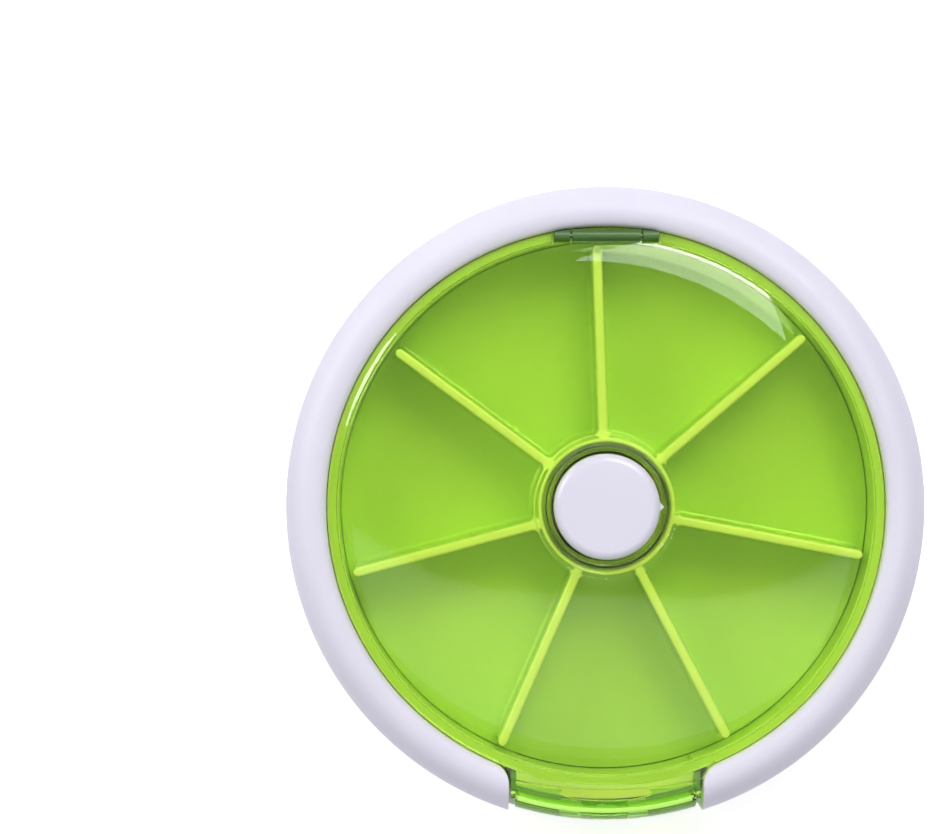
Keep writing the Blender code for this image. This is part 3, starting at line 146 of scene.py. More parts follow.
# Lid
LID_RADIUS = 0.0388
LID_THICKNESS = 0.0012
LID_FOOT = 0.0144
LID_SHOULDER_FOOT = 0.0154
LID_EDGE_RISE = 0.0023
LID_CROWN_RISE = 0.0005
LID_EDGE_POWER = 8
LID_HOLE = 0.0078
LID_COLLAR = 0.0086
LID_COLLAR_FOOT = 0.0156
LID_TOP = 0.0182
TAB_TOP = 0.0162
TAB_EDGE_RADIUS = 0.0600
TAB_EDGE_Y = 0.0396
HINGE_Y = 0.03785
HINGE_Z = 0.0160
KNUCKLE = 0.0009
BARREL_HALF = 0.0048
EAR = (0.0051, 0.0073)
EAR_SPACE = 0.0076
LID_CHORD = 0.03718
LID_TAB_ROOT = 0.0379
LID_TAB_GAP = 0.0004
LID_ARM_ROOT = 0.0005
LID_HOLE_ROUND = 0.0004
KEYWAY_HALF = 0.00088
EAR_BACK = 0.0390
DIP_INNER = 0.0092
DIP_OUTER = 0.0101
DIP_DEPTH = 0.0006

# Door
DOOR_HALF = 0.0127
DOOR_RADIUS = 0.0444
DOOR_WALL = 0.0014
DOOR_FOOT = 0.0026
DOOR_TOP = 0.0144
DOOR_SHOULDER = 0.00985
DOOR_EDGE_GAP = 0.00055
NAIL_HALF = 0.0065
NAIL_DEPTH = 0.0012
DOOR_AXIS = (-0.0434, 0.0034)
DOOR_KNUCKLE = 0.0010
DOOR_BARREL_HALF = 0.0033
DOOR_LUG = (0.0036, 0.0060)
DOOR_SNAP = 0.0005
DOOR_SNAP_REACH = 0.0006
DOOR_SNAP_ROOT = 0.0004

# Button
BUTTON_RADIUS = 0.00737
BUTTON_TOP = 0.0192
BUTTON_FOOT = 0.0134
BUTTON_CEILING = 0.0178
BUTTON_WALL = 0.00117
BUTTON_ROUND = 0.0012
BUTTON_ROUND_DROP = 0.9 * BUTTON_ROUND
BUTTON_EDGE_DROP = 0.0001
BUTTON_CROWN = ((0.003, 0.00002), (0.005, 0.00006))
BUTTON_FOOT_CHAMFER = 0.0002
KEY_HALF = 0.00125
KEY_REACH = 0.0006


def put(name, bm, smooth=True):
    """Makes a bmesh into an object, its faces pointing out."""
    bmesh.ops.recalc_face_normals(bm, faces=bm.faces)
    mesh = bpy.data.meshes.new(name)
    bm.to_mesh(mesh)
    bm.free()
    if smooth:
        mesh.shade_smooth()
    item = bpy.data.objects.new(name, mesh)
    bpy.context.scene.collection.objects.link(item)
    return item


def turned(name, outline, steps=ROUND_STEPS):
    """A closed outline of (radius, height) points, turned once round Z."""
    bm = bmesh.new()
    rings = []
    for radius, height in outline:
        if radius <= 0:
            rings.append([bm.verts.new((0, 0, height))] * steps)
            continue
        rings.append(
            [
                bm.verts.new(
                    (
                        radius * math.sin(math.tau * i / steps),
                        radius * math.cos(math.tau * i / steps),
                        height,
                    )
                )
                for i in range(steps)
            ]
        )
    for first, second in zip(rings, rings[1:] + rings[:1]):
        for i in range(steps):
            j = (i + 1) % steps
            corners = []
            for corner in (first[i], first[j], second[j], second[i]):
                if corner not in corners:
                    corners.append(corner)
            if len(corners) > 2:
                bm.faces.new(corners)
    return put(name, bm)


def prism(name, outline, low, high):
    """A closed outline of (x, y) points, extruded from one height to another."""
    bm = bmesh.new()
    foot = [bm.verts.new((x, y, low)) for x, y in outline]
    top = [bm.verts.new((x, y, high)) for x, y in outline]
    bm.faces.new(foot)
    bm.faces.new(top)
    for i, corner in enumerate(foot):
        j = (i + 1) % len(foot)
        bm.faces.new((corner, foot[j], top[j], top[i]))
    return put(name, bm)


def bar(name, outline, start, end):
    """A closed outline of (y, z) points, extruded along X."""
    item = prism(name, outline, start, end)
    for corner in item.data.vertices:
        x, y, z = corner.co
        corner.co = (z, x, y)
    return item


def box(name, low, high):
    """A box between its lowest and its highest corner."""
    outline = [(low[0], low[1]), (high[0], low[1]), (high[0], high[1]), (low[0], high[1])]
    return prism(name, outline, low[2], high[2])


def arc(centre, radius, start, end, steps):
    """Points along an arc, its angles in radians."""
    turns = [start + (end - start) * i / steps for i in range(steps + 1)]
    return [(centre[0] + radius * math.cos(t), centre[1] + radius * math.sin(t)) for t in turns]


def quarter(steps):
    """The angles of a quarter turn in even steps."""
    return [math.pi / 2 * i / steps for i in range(steps + 1)]


def rod(name, y, z, start, end, radius, steps=PIN_STEPS):
    """A round bar along X."""
    return bar(name, arc((y, z), radius, 0, math.tau * (steps - 1) / steps, steps - 1), start, end)


def post(name, place, low, high, radius, steps=PIN_STEPS):
    """A round bar along Z."""
    outline = arc(place, radius, 0, math.tau * (steps - 1) / steps, steps - 1)
    return prism(name, outline, low, high)


def settle(item):
    """Turns an object's modifiers into its mesh."""
    graph = bpy.context.evaluated_depsgraph_get()
    mesh = bpy.data.meshes.new_from_object(item.evaluated_get(graph))
    item.modifiers.clear()
    old = item.data
    item.data = mesh
    bpy.data.meshes.remove(old)
    return item


def combine(item, other, operation):
    """Joins, cuts or trims an object with another one, which is used up."""
    step = item.modifiers.new("step", "BOOLEAN")
    step.operation = operation
    step.solver = "EXACT"
    step.object = other
    settle(item)
    bpy.data.objects.remove(other)
    return item


def join(item, other):
    return combine(item, other, "UNION")


def cut(item, other):
    return combine(item, other, "DIFFERENCE")


def trim(item, other):
    return combine(item, other, "INTERSECT")


def clean(item):
    """Merges what the cuts left doubled and drops faces without area."""
    bm = bmesh.new()
    bm.from_mesh(item.data)
    bmesh.ops.remove_doubles(bm, verts=bm.verts, dist=MERGE)
    bmesh.ops.dissolve_degenerate(bm, edges=bm.edges, dist=MERGE)
    bm.to_mesh(item.data)
    bm.free()
    return item


def soften(item, width, segments=3, angle=34):
    """Rounds an object's edges."""
    clean(item)
    item.data.shade_smooth()
    step = item.modifiers.new("rounded_edges", "BEVEL")
    step.width = width
    step.segments = segments
    step.limit_method = "ANGLE"
    step.angle_limit = math.radians(angle)
    step.use_clamp_overlap = True
    step.harden_normals = True
    return item


# Shapes


def crown(inset, inner_steps, outer_steps):
    """The ring's rounded top, from its bore to its outer wall, moved in by a wall's thickness."""
    inner = RING_BORE + inset
    outer = CASE_RADIUS - inset
    rise = RING_CREST_TOP - RING_EDGE_TOP
    points = []
    for turn in quarter(inner_steps)[:-1]:
        points.append(
            (
                RING_CREST - (RING_CREST - inner) * math.cos(turn),
                RING_EDGE_TOP - inset + rise * math.sin(turn),
            )
        )
    for turn in quarter(outer_steps):
        points.append(
            (
                RING_CREST + (outer - RING_CREST) * math.sin(turn),
                RING_SHOULDER + (RING_CREST_TOP - inset - RING_SHOULDER) * math.cos(turn),
            )
        )
    return points


def notch_outline(gap, reach, steps=FILLET_STEPS):
    """The notch seen from above, drawn in by a gap, out to a distance from the centre."""
    half = NOTCH_HALF - gap
    fillet = NOTCH_FILLET + gap
    across = half + fillet
    down = math.sqrt((RING_BORE - gap + fillet) ** 2 - across**2)
    left = arc((-across, -down), fillet, math.atan2(down, across), 0, steps)
    right = [(-x, y) for x, y in reversed(left)]
    return [(-half, -reach), *reversed(left), *reversed(right), (half, -reach)]


def screw_places():
    turns = [math.radians(turn) for turn in SCREW_TURNS]
    return [(SCREW_CIRCLE * math.cos(turn), SCREW_CIRCLE * math.sin(turn)) for turn in turns]


def make_ring():
    """The white ring with its rounded crown, hollow below, and the notch."""
    screw_radius, screw_top = SCREW_BORE
    ring = turned(
        "ring_shell",
        [
            (RING_BORE, FIXED_FOOT),
            *crown(0, 8, CROWN_STEPS),
            (CASE_RADIUS, SEAM + GAP),
            (SKIRT_RADIUS, SEAM + GAP),
            (SKIRT_RADIUS, FIXED_FOOT),
        ],
    )
    hollow = turned(
        "hollow",
        [
            (RING_BORE + RING_WALL, FIXED_FOOT - OVER),
            *crown(RING_WALL, 2, 8),
            (CASE_RADIUS - RING_WALL, FIXED_FOOT - OVER),
        ],
        steps=HOLLOW_STEPS,
    )
    top = RING_CREST_TOP + OVER
    reach = CASE_RADIUS + OVER
    cut(hollow, prism("cheeks", notch_outline(-CHEEK, reach), FIXED_FOOT - 2 * OVER, top))
    for place in screw_places():
        cut(hollow, post("boss", place, 0, top, BOSS_RADIUS))
    cut(ring, hollow)
    cut(ring, prism("notch", notch_outline(0, reach), FIXED_FOOT - OVER, top))
    for place in screw_places():
        cut(ring, post("screw", place, 0, screw_top, screw_radius))
    return soften(ring, RING_EDGE)


def make_base():
    """The white floor and low wall, with a glide rib, a bearing ring and the door's two lugs."""
    recess_radius, recess_top = SCREW_RECESS
    middle_radius, middle_top = SPINDLE_RECESS
    rib_in, rib_out, rib_top = GLIDE_RIB
    bearing_in, bearing_out, bearing_top = BEARING
    shell = turned(
        "base",
        [
            (SPINDLE_HOLE, middle_top),
            (middle_radius, middle_top),
            (middle_radius, 0),
            (CASE_RADIUS - FOOT_CHAMFER, 0),
            (CASE_RADIUS, FOOT_CHAMFER),
            (CASE_RADIUS, SEAM),
            (CASE_RADIUS - WALL, SEAM),
            (CASE_RADIUS - WALL, FLOOR_TOP),
            (rib_out, FLOOR_TOP),
            (rib_out, rib_top),
            (rib_in, rib_top),
            (rib_in, FLOOR_TOP),
            (bearing_out, FLOOR_TOP),
            (bearing_out, bearing_top),
            (bearing_in, bearing_top),
            (bearing_in, FLOOR_TOP),
            (SPINDLE_HOLE, FLOOR_TOP),
        ],
    )
    reach = CASE_RADIUS + OVER
    above = SEAM + OVER
    cut(shell, box("notch", (-NOTCH_HALF, -reach, FLOOR_TOP), (NOTCH_HALF, -RING_BORE / 2, above)))
    for place in screw_places():
        cut(shell, post("recess", place, -OVER, recess_top, recess_radius, RECESS_STEPS))
        cut(shell, post("hole", place, -OVER, FLOOR_TOP + OVER, SCREW_HOLE))
    for side in (-1, 1):
        ends = sorted((side * DOOR_LUG[0], side * DOOR_LUG[1]))
        y, z = DOOR_AXIS
        head = arc((y, z), DOOR_KNUCKLE, 0, math.pi, PIN_STEPS // 2)
        foot = FLOOR_TOP - FOOT_SINK
        outline = [*head, (y - DOOR_KNUCKLE, foot), (y + DOOR_KNUCKLE, foot)]
        lug = bar("lug", outline, *ends)
        cut(lug, rod("bore", y, z, ends[0] - OVER, ends[1] + OVER, DOOR_PIN_BORE))
        join(shell, lug)
    return soften(shell, SHELL_EDGE)


def make_liner():
    """The green fixed wall round the wheel, with the outlet."""
    liner = turned(
        "fixed_wall",
        [
            (LINER_INNER, FIXED_FOOT),
            (LINER_RADIUS, FIXED_FOOT),
            (LINER_RADIUS, LINER_TOP),
            (LINER_INNER, LINER_TOP),
        ],
    )
    low = (-OUTLET_HALF, -LINER_RADIUS - OVER, SILL_TOP)
    cut(liner, box("outlet", low, (OUTLET_HALF, -LINER_INNER / 2, OUTLET_TOP)))
    return soften(liner, WALL_EDGE)


def make_chute():
    """The short channel from the outlet to the door."""
    inner = LINER_RADIUS + GAP
    outer = -DOOR_AXIS[0] - DOOR_KNUCKLE - GAP
    top = OUTLET_TOP - CHUTE_TOP_GAP
    half = NOTCH_HALF - GAP
    chute = turned(
        "chute", [(inner, FIXED_FOOT), (outer, FIXED_FOOT), (outer, top), (inner, top)]
    )
    trim(chute, box("width", (-half, -CASE_RADIUS, 0), (half, -inner / 2, top + OVER)))
    half -= CHUTE_CHEEK
    cut(chute, box("way", (-half, -CASE_RADIUS, SILL_TOP), (half, -inner / 2, top + OVER)))
    return soften(chute, WALL_EDGE)


def divider(number):
    """A blade from the hub to the wall, with rounded feet and a rounded top."""
    rows = []
    top = DIVIDER_TOP
    section = [(DIVIDER_HALF + TRAY_FILLET, TRAY_FLOOR - DIVIDER_SINK)]
    section += [
        (
            DIVIDER_HALF + TRAY_FILLET * (1 - math.sin(turn)),
            TRAY_FLOOR + TRAY_FILLET * (1 - math.cos(turn)),
        )
        for turn in quarter(FOOT_STEPS)
    ]
    section += [
        (
            DIVIDER_HALF - DIVIDER_ROUND * (1 - math.cos(turn)),
            top - DIVIDER_ROUND * (1 - math.sin(turn)),
        )
        for turn in quarter(RIM_STEPS)
    ]
    section = section + [(-x, z) for x, z in reversed(section)]
    start = HUB_RADIUS - DIVIDER_SINK
    reaches = [start + DIVIDER_FLARE * i / FLARE_STEPS for i in range(FLARE_STEPS + 1)]
    reaches += DIVIDER_PLACES
    end = DIVIDER_END - DIVIDER_HALF
    bm = bmesh.new()
    for reach in reaches:
        near = max(0.0, TRAY_FILLET - (reach - HUB_RADIUS))
        near = min(near, TRAY_FILLET)
        flare = TRAY_FILLET - math.sqrt(TRAY_FILLET**2 - near**2)
        rows.append([(reach, y + math.copysign(flare, y), z) for y, z in section])
    for turn in quarter(FLARE_STEPS):
        reach = end + DIVIDER_HALF * math.sin(turn)
        narrow = max(math.cos(turn), 0.02)
        rows.append([(reach, y * narrow, z) for y, z in section])
    turn = Matrix.Rotation(math.pi / 2 + TRAY_TURN + number * math.tau / DIVIDER_COUNT, 4, "Z")
    corners = [[bm.verts.new(turn @ Vector(place)) for place in row] for row in rows]
    for first, second in zip(corners, corners[1:]):
        for i in range(len(section)):
            j = (i + 1) % len(section)
            bm.faces.new((first[i], first[j], second[j], second[i]))
    bm.faces.new(corners[0])
    bm.faces.new(corners[-1])
    return put(f"divider_{number}", bm)


def make_tray():
    """The wheel: a floor, a hub with a shelf and a ledge inside, and seven dividers."""
    ledge_radius, ledge_foot, ledge_top = HUB_LEDGE
    shelf_radius, shelf_foot, shelf_top = HUB_SHELF
    rim = DIVIDER_ROUND
    chamfer = TRAY_EDGE_CHAMFER
    tray = turned(
        "compartment_wheel",
        [
            (HUB_BORE, FIXED_FOOT),
            (HUB_RADIUS, FIXED_FOOT),
            (HUB_RADIUS, TRAY_BOTTOM),
            (TRAY_RADIUS - chamfer, TRAY_BOTTOM),
            (TRAY_RADIUS, TRAY_BOTTOM + chamfer),
            (TRAY_RADIUS, TRAY_FLOOR - chamfer),
            (TRAY_RADIUS - chamfer, TRAY_FLOOR),
            *((place, TRAY_FLOOR) for place in FLOOR_PLACES),
            *[
                (
                    HUB_RADIUS + TRAY_FILLET * (1 - math.sin(turn)),
                    TRAY_FLOOR + TRAY_FILLET * (1 - math.cos(turn)),
                )
                for turn in quarter(FOOT_STEPS)
            ],
            *arc((HUB_RADIUS - rim, HUB_TOP - rim), rim, 0, math.pi / 2, RIM_STEPS),
            *arc((HUB_MOUTH + rim, HUB_TOP - rim), rim, math.pi / 2, math.pi, RIM_STEPS),
            (HUB_MOUTH, shelf_top),
            (shelf_radius, shelf_top),
            (shelf_radius, shelf_foot),
            (HUB_MOUTH, shelf_foot),
            (HUB_MOUTH, ledge_top),
            (ledge_radius, ledge_top),
            (ledge_radius, ledge_foot),
            (HUB_BORE, ledge_foot),
        ],
        steps=TRAY_STEPS,
    )
    for number in range(DIVIDER_COUNT):
        join(tray, divider(number))
    dimple_top = TRAY_BOTTOM + DIMPLE_DEPTH
    for number in range(DIVIDER_COUNT):
        turn = DIMPLE_TURN + number * math.tau / DIVIDER_COUNT
        place = (DIMPLE_CIRCLE * math.cos(turn), DIMPLE_CIRCLE * math.sin(turn))
        cut(tray, post("dimple", place, TRAY_BOTTOM - OVER, dimple_top, DIMPLE_RADIUS))
    clean(tray)
    tray.data.shade_smooth()
    tray.data.set_sharp_from_angle(angle=math.radians(38))
    return tray


def lid_curve(inset, start, steps):
    """The lid's outside, or its inside at a wall's thickness, from a radius to the skirt."""
    edge_radius = LID_RADIUS - inset
    rise = LID_EDGE_RISE - inset
    points = []
    for turn in quarter(steps):
        radius = start + (edge_radius - start) * math.sin(turn)
        share = radius / edge_radius
        edge = math.sqrt(max(0.0, 1 - share**LID_EDGE_POWER))
        height = LID_SHOULDER_FOOT + rise * edge + LID_CROWN_RISE * (1 - share**2)
        points.append((radius, height))
    return points


def make_lid():
    """The clear lid: a dome with a dip round the button, a collar, a keyway and the tab."""
    inside = lid_curve(LID_THICKNESS, LID_COLLAR, LID_STEPS)
    outside = lid_curve(0, DIP_OUTER, LID_STEPS)
    top = outside[0][1] - DIP_DEPTH
    slope = []
    for i in range(DIP_STEPS):
        share = i / DIP_STEPS
        rise = DIP_DEPTH * (1 - math.cos(math.pi * share)) / 2
        slope.append((DIP_INNER + (DIP_OUTER - DIP_INNER) * share, top + rise))
    edge = LID_HOLE_ROUND
    chamfer = LID_EDGE_CHAMFER
    shell = turned(
        "clear_lid",
        [
            *arc((LID_HOLE + edge, top - edge), edge, math.pi, math.pi / 2, LID_HOLE_STEPS),
            *slope,
            *outside,
            (LID_RADIUS, LID_FOOT + chamfer),
            (LID_RADIUS - chamfer, LID_FOOT),
            (LID_RADIUS - LID_THICKNESS + chamfer, LID_FOOT),
            (LID_RADIUS - LID_THICKNESS, LID_FOOT + chamfer),
            *reversed(inside),
            (LID_COLLAR, LID_COLLAR_FOOT + chamfer),
            (LID_COLLAR - chamfer, LID_COLLAR_FOOT),
            (LID_HOLE + chamfer, LID_COLLAR_FOOT),
            (LID_HOLE, LID_COLLAR_FOOT + chamfer),
        ],
    )
    above = LID_TOP + OVER
    front = HINGE_Y - KNUCKLE - GAP
    side = BARREL_HALF + PLAY
    hinge_space = [
        (-EAR_SPACE, CASE_RADIUS),
        (-EAR_SPACE, front),
        (-side, front),
        (-side, LID_CHORD),
        (side, LID_CHORD),
        (side, front),
        (EAR_SPACE, front),
        (EAR_SPACE, CASE_RADIUS),
    ]
    cut(shell, prism("hinge_space", hinge_space, 0, above))
    join(shell, make_tab())
    low = (LID_HOLE / 2, -KEYWAY_HALF, 0)
    cut(shell, box("keyway", low, (BUTTON_RADIUS + KEY_REACH + GAP, KEYWAY_HALF, above)))
    clean(shell)
    shell.data.shade_smooth()
    shell.data.set_sharp_from_angle(angle=math.radians(40))
    return shell


def make_barrel():
    """The lid's hinge barrel with the arm that carries it."""
    barrel = rod("lid_hinge_barrel", HINGE_Y, HINGE_Z, -BARREL_HALF, BARREL_HALF, KNUCKLE)
    arm_half = BARREL_HALF - PLAY
    low = (-arm_half, LID_CHORD - LID_ARM_ROOT, HINGE_Z - KNUCKLE / 2)
    join(barrel, box("arm", low, (arm_half, HINGE_Y, HINGE_Z + KNUCKLE / 2)))
    reach = BARREL_HALF + OVER
    cut(barrel, rod("bore", HINGE_Y, HINGE_Z, -reach, reach, LID_PIN_BORE))
    return soften(barrel, FINE_EDGE)


def make_ear(name, side):
    """One of the two ears that hold the lid's hinge pin."""
    ends = sorted((side * EAR[0], side * EAR[1]))
    head = arc((HINGE_Y, HINGE_Z), KNUCKLE, 0, math.pi, PIN_STEPS // 2)
    foot = LINER_TOP - FOOT_SINK
    ear = bar(name, [*head, (HINGE_Y - KNUCKLE, foot), (HINGE_Y + KNUCKLE, foot)], *ends)
    cut(ear, rod("bore", HINGE_Y, HINGE_Z, ends[0] - OVER, ends[1] + OVER, LID_PIN_BORE))
    trim(ear, post("well", (0, 0), 0, RING_CREST_TOP + OVER, EAR_BACK, ROUND_STEPS))
    return soften(ear, WALL_EDGE)


def tab_edge(offset, half, steps):
    """The tab's front edge, moved out by an offset, from right to left."""
    front = TAB_EDGE_Y + offset
    radius = TAB_EDGE_RADIUS + offset
    spread = math.asin(half / radius)
    return arc((0, radius - front), radius, -math.pi / 2 + spread, -math.pi / 2 - spread, steps)


def make_tab():
    """The lid's tab, which fills the inner part of the notch."""
    tab = prism("tab", notch_outline(LID_TAB_GAP, CASE_RADIUS), LID_FOOT, TAB_TOP)
    edge = tab_edge(0, NOTCH_HALF, TAB_EDGE_STEPS)
    wide = 2 * NOTCH_HALF
    inner = RING_BORE / 2
    front = [(-wide, -inner), *((-x, y) for x, y in edge), (wide, -inner)]
    trim(tab, prism("front", front, 0, TAB_TOP + OVER))
    core = [
        (0, LID_FOOT - OVER),
        (LID_TAB_ROOT, LID_FOOT - OVER),
        (LID_TAB_ROOT, TAB_TOP + OVER),
        (0, TAB_TOP + OVER),
    ]
    cut(tab, turned("core", core, steps=CORE_STEPS))
    return tab


def make_door():
    """The door: a curved wall with a rounded top, a nail recess, a barrel and two snap nubs."""

    def bend(radius, height, steps):
        return [
            (
                RING_CREST + (radius - RING_CREST) * math.sin(turn),
                DOOR_SHOULDER + (height - DOOR_SHOULDER) * math.cos(turn),
            )
            for turn in quarter(steps)
        ]

    outer_wall = DOOR_RADIUS - DOOR_WALL
    door = turned(
        "door",
        [
            (LID_RADIUS, DOOR_TOP),
            *bend(DOOR_RADIUS, DOOR_TOP, CROWN_STEPS),
            (DOOR_RADIUS, DOOR_FOOT),
            (outer_wall, DOOR_FOOT),
            *reversed(bend(outer_wall, DOOR_TOP - DOOR_WALL, BEND_STEPS)),
            (LID_RADIUS, DOOR_TOP - DOOR_WALL),
        ],
    )
    above = RING_CREST_TOP + OVER
    reach = CASE_RADIUS + OVER
    edge = tab_edge(DOOR_EDGE_GAP, DOOR_HALF, TAB_EDGE_STEPS)
    trim(door, prism("width", [*edge, (-DOOR_HALF, -reach), (DOOR_HALF, -reach)], 0, above))
    middle = TAB_EDGE_Y + DOOR_EDGE_GAP
    turns = [math.tau * i / NAIL_STEPS for i in range(NAIL_STEPS)]
    recess = [(NAIL_HALF * math.cos(turn), NAIL_DEPTH * math.sin(turn) - middle) for turn in turns]
    cut(door, prism("nail_recess", recess, DOOR_TOP - DOOR_WALL - OVER / 2, above))
    lug_in = DOOR_BARREL_HALF + PLAY
    lug_out = DOOR_LUG[1] + GAP
    lug_top = DOOR_AXIS[1] + DOOR_KNUCKLE + GAP
    for low_x, high_x in ((-lug_out, -lug_in), (lug_in, lug_out)):
        cut(door, box("lug_space", (low_x, -reach, 0), (high_x, -LID_RADIUS, lug_top)))
    join(door, rod("barrel", *DOOR_AXIS, -DOOR_BARREL_HALF, DOOR_BARREL_HALF, DOOR_KNUCKLE))
    bore_reach = DOOR_BARREL_HALF + OVER
    cut(door, rod("bore", *DOOR_AXIS, -bore_reach, bore_reach, DOOR_PIN_BORE))
    for side in (-1, 1):
        ends = sorted((side * (DOOR_HALF - DOOR_SNAP_ROOT), side * (DOOR_HALF + DOOR_SNAP_REACH)))
        join(door, rod("snap", DOOR_WALL / 2 - RING_CREST, DOOR_TOP - DOOR_WALL / 2, *ends, DOOR_SNAP))
    return soften(door, SHELL_EDGE)


def make_button():
    """The white cap, rounded at its edge, with a small pointed key at one side."""
    inner = BUTTON_RADIUS - BUTTON_WALL
    rounding = [
        (
            BUTTON_RADIUS - BUTTON_ROUND * (1 - math.sin(turn)),
            BUTTON_TOP - BUTTON_EDGE_DROP - BUTTON_ROUND_DROP * (1 - math.cos(turn)),
        )
        for turn in quarter(BEND_STEPS)
    ]
    cap = turned(
        "button_cap",
        [
            (0, BUTTON_TOP),
            *((radius, BUTTON_TOP - drop) for radius, drop in BUTTON_CROWN),
            *rounding,
            (BUTTON_RADIUS, BUTTON_FOOT + BUTTON_FOOT_CHAMFER),
            (BUTTON_RADIUS - BUTTON_FOOT_CHAMFER, BUTTON_FOOT),
            (inner, BUTTON_FOOT),
            (inner, BUTTON_CEILING),
            (0, BUTTON_CEILING),
        ],
        steps=BUTTON_STEPS,
    )
    root = BUTTON_RADIUS - BUTTON_WALL / 2
    nib = [(root, -KEY_HALF), (BUTTON_RADIUS + KEY_REACH, 0), (root, KEY_HALF)]
    join(cap, prism("key", nib, BUTTON_FOOT + OVER, LID_TOP - GAP))
    return soften(cap, FINE_EDGE, angle=40)


# Materials

# Heights over which the wheel's tops are painted lighter, a painted light for the light they catch.
LIT_TOP_SPAN = (0.0105, 0.0140)
# Heights over which the chute's cheeks are painted dark, a painted shade.
CHEEK_SHADE_SPAN = (0.0060, 0.0090)
PLASTIC_SCALES = (90.0, 700.0, 5200.0)
CLEAR_SCALES = (60.0, 400.0)
METAL_SCALES = (1500.0, 3500.0, 9000.0)
NOISE_SPAN = (0.3, 0.7)
PLASTIC_IOR = 1.49
PLASTIC_SHEEN = 0.3
CLEAR_IOR = 1.25
SCATTER_COLOUR = (0.6, 1.0, 0.25)
SCATTER_DEPTH = 0.0012

# Grain, as its strength and its depths
PLASTIC_GRAIN = 0.35
METAL_GRAIN = 0.2
COARSE_DEPTH = 0.000014
MATTE_DEPTH = 0.00001
FINE_DEPTH = 0.000008
SMOOTH_DEPTH = 0.000006
GLOSSY_DEPTH = 0.000004


def material(name):
    """A new material with its tree and its shader."""
    made = bpy.data.materials.new(name)
    made.use_nodes = True
    return made, made.node_tree, made.node_tree.nodes["Principled BSDF"]


def noise(tree, scale, detail=3.0, roughness=0.5):
    """A noise texture in the object's own space."""
    place = tree.nodes.new("ShaderNodeTexCoord")
    texture = tree.nodes.new("ShaderNodeTexNoise")
    texture.inputs["Scale"].default_value = scale
    texture.inputs["Detail"].default_value = detail
    texture.inputs["Roughness"].default_value = roughness
    tree.links.new(place.outputs["Object"], texture.inputs["Vector"])
    return texture.outputs["Fac"]


def between(tree, factor, low, high):
    """A value that runs between two numbers with a factor."""
    node = tree.nodes.new("ShaderNodeMapRange")
    node.inputs["From Min"].default_value = NOISE_SPAN[0]
    node.inputs["From Max"].default_value = NOISE_SPAN[1]
    node.inputs["To Min"].default_value = low
    node.inputs["To Max"].default_value = high
    tree.links.new(factor, node.inputs["Value"])
    return node.outputs["Result"]


def two_tone(tree, factor, first, second):
    """A colour that runs between two colours with a factor."""
    node = tree.nodes.new("ShaderNodeMix")
    node.data_type = "RGBA"
    node.inputs["A"].default_value = (*first, 1)
    node.inputs["B"].default_value = (*second, 1)
    tree.links.new(between(tree, factor, 0, 1), node.inputs["Factor"])
    return node.outputs["Result"]


def grain(tree, shader, scale, strength, distance):
    """A fine moulded grain."""
    bump = tree.nodes.new("ShaderNodeBump")
    bump.inputs["Strength"].default_value = strength
    bump.inputs["Distance"].default_value = distance
    tree.links.new(noise(tree, scale, 4.0), bump.inputs["Height"])
    tree.links.new(bump.outputs["Normal"], shader.inputs["Normal"])


def above(tree, colour, painted_top, low, high):
    """Paints a colour that turns into another one from a low height to a high one, for painted light
    and painted shade by height.
    """
    place = tree.nodes.new("ShaderNodeTexCoord")
    parts = tree.nodes.new("ShaderNodeSeparateXYZ")
    span = tree.nodes.new("ShaderNodeMapRange")
    span.interpolation_type = "SMOOTHSTEP"
    span.inputs["From Min"].default_value = low
    span.inputs["From Max"].default_value = high
    node = tree.nodes.new("ShaderNodeMix")
    node.data_type = "RGBA"
    node.inputs["B"].default_value = (*painted_top, 1)
    tree.links.new(place.outputs["Object"], parts.inputs[0])
    tree.links.new(parts.outputs["Z"], span.inputs["Value"])
    tree.links.new(span.outputs["Result"], node.inputs["Factor"])
    tree.links.new(colour, node.inputs["A"])
    return node.outputs["Result"]


def plastic(name, first, second, rough, grain_depth, scatter=0.0, painted_top=None, span=LIT_TOP_SPAN):
    """Moulded plastic; where a top colour is given, it is painted above a height: painted light on the
    wheel's tops and painted shade on the chute's cheeks.
    """
    made, tree, shader = material(name)
    tone_scale, polish_scale, grain_scale = PLASTIC_SCALES
    colour = two_tone(tree, noise(tree, tone_scale, 2.0), first, second)
    # Painted light on the wheel's tops and painted shade on the chute's cheeks, laid over the
    # plastic's own colour by height.
    if painted_top:
        colour = above(tree, colour, painted_top, *span)
    tree.links.new(colour, shader.inputs["Base Color"])
    tree.links.new(between(tree, noise(tree, polish_scale), *rough), shader.inputs["Roughness"])
    grain(tree, shader, grain_scale, PLASTIC_GRAIN, grain_depth)
    shader.inputs["IOR"].default_value = PLASTIC_IOR
    shader.inputs["Specular IOR Level"].default_value = PLASTIC_SHEEN
    if scatter:
        shader.inputs["Subsurface Weight"].default_value = scatter
        shader.inputs["Subsurface Radius"].default_value = SCATTER_COLOUR
        shader.inputs["Subsurface Scale"].default_value = SCATTER_DEPTH
    return made


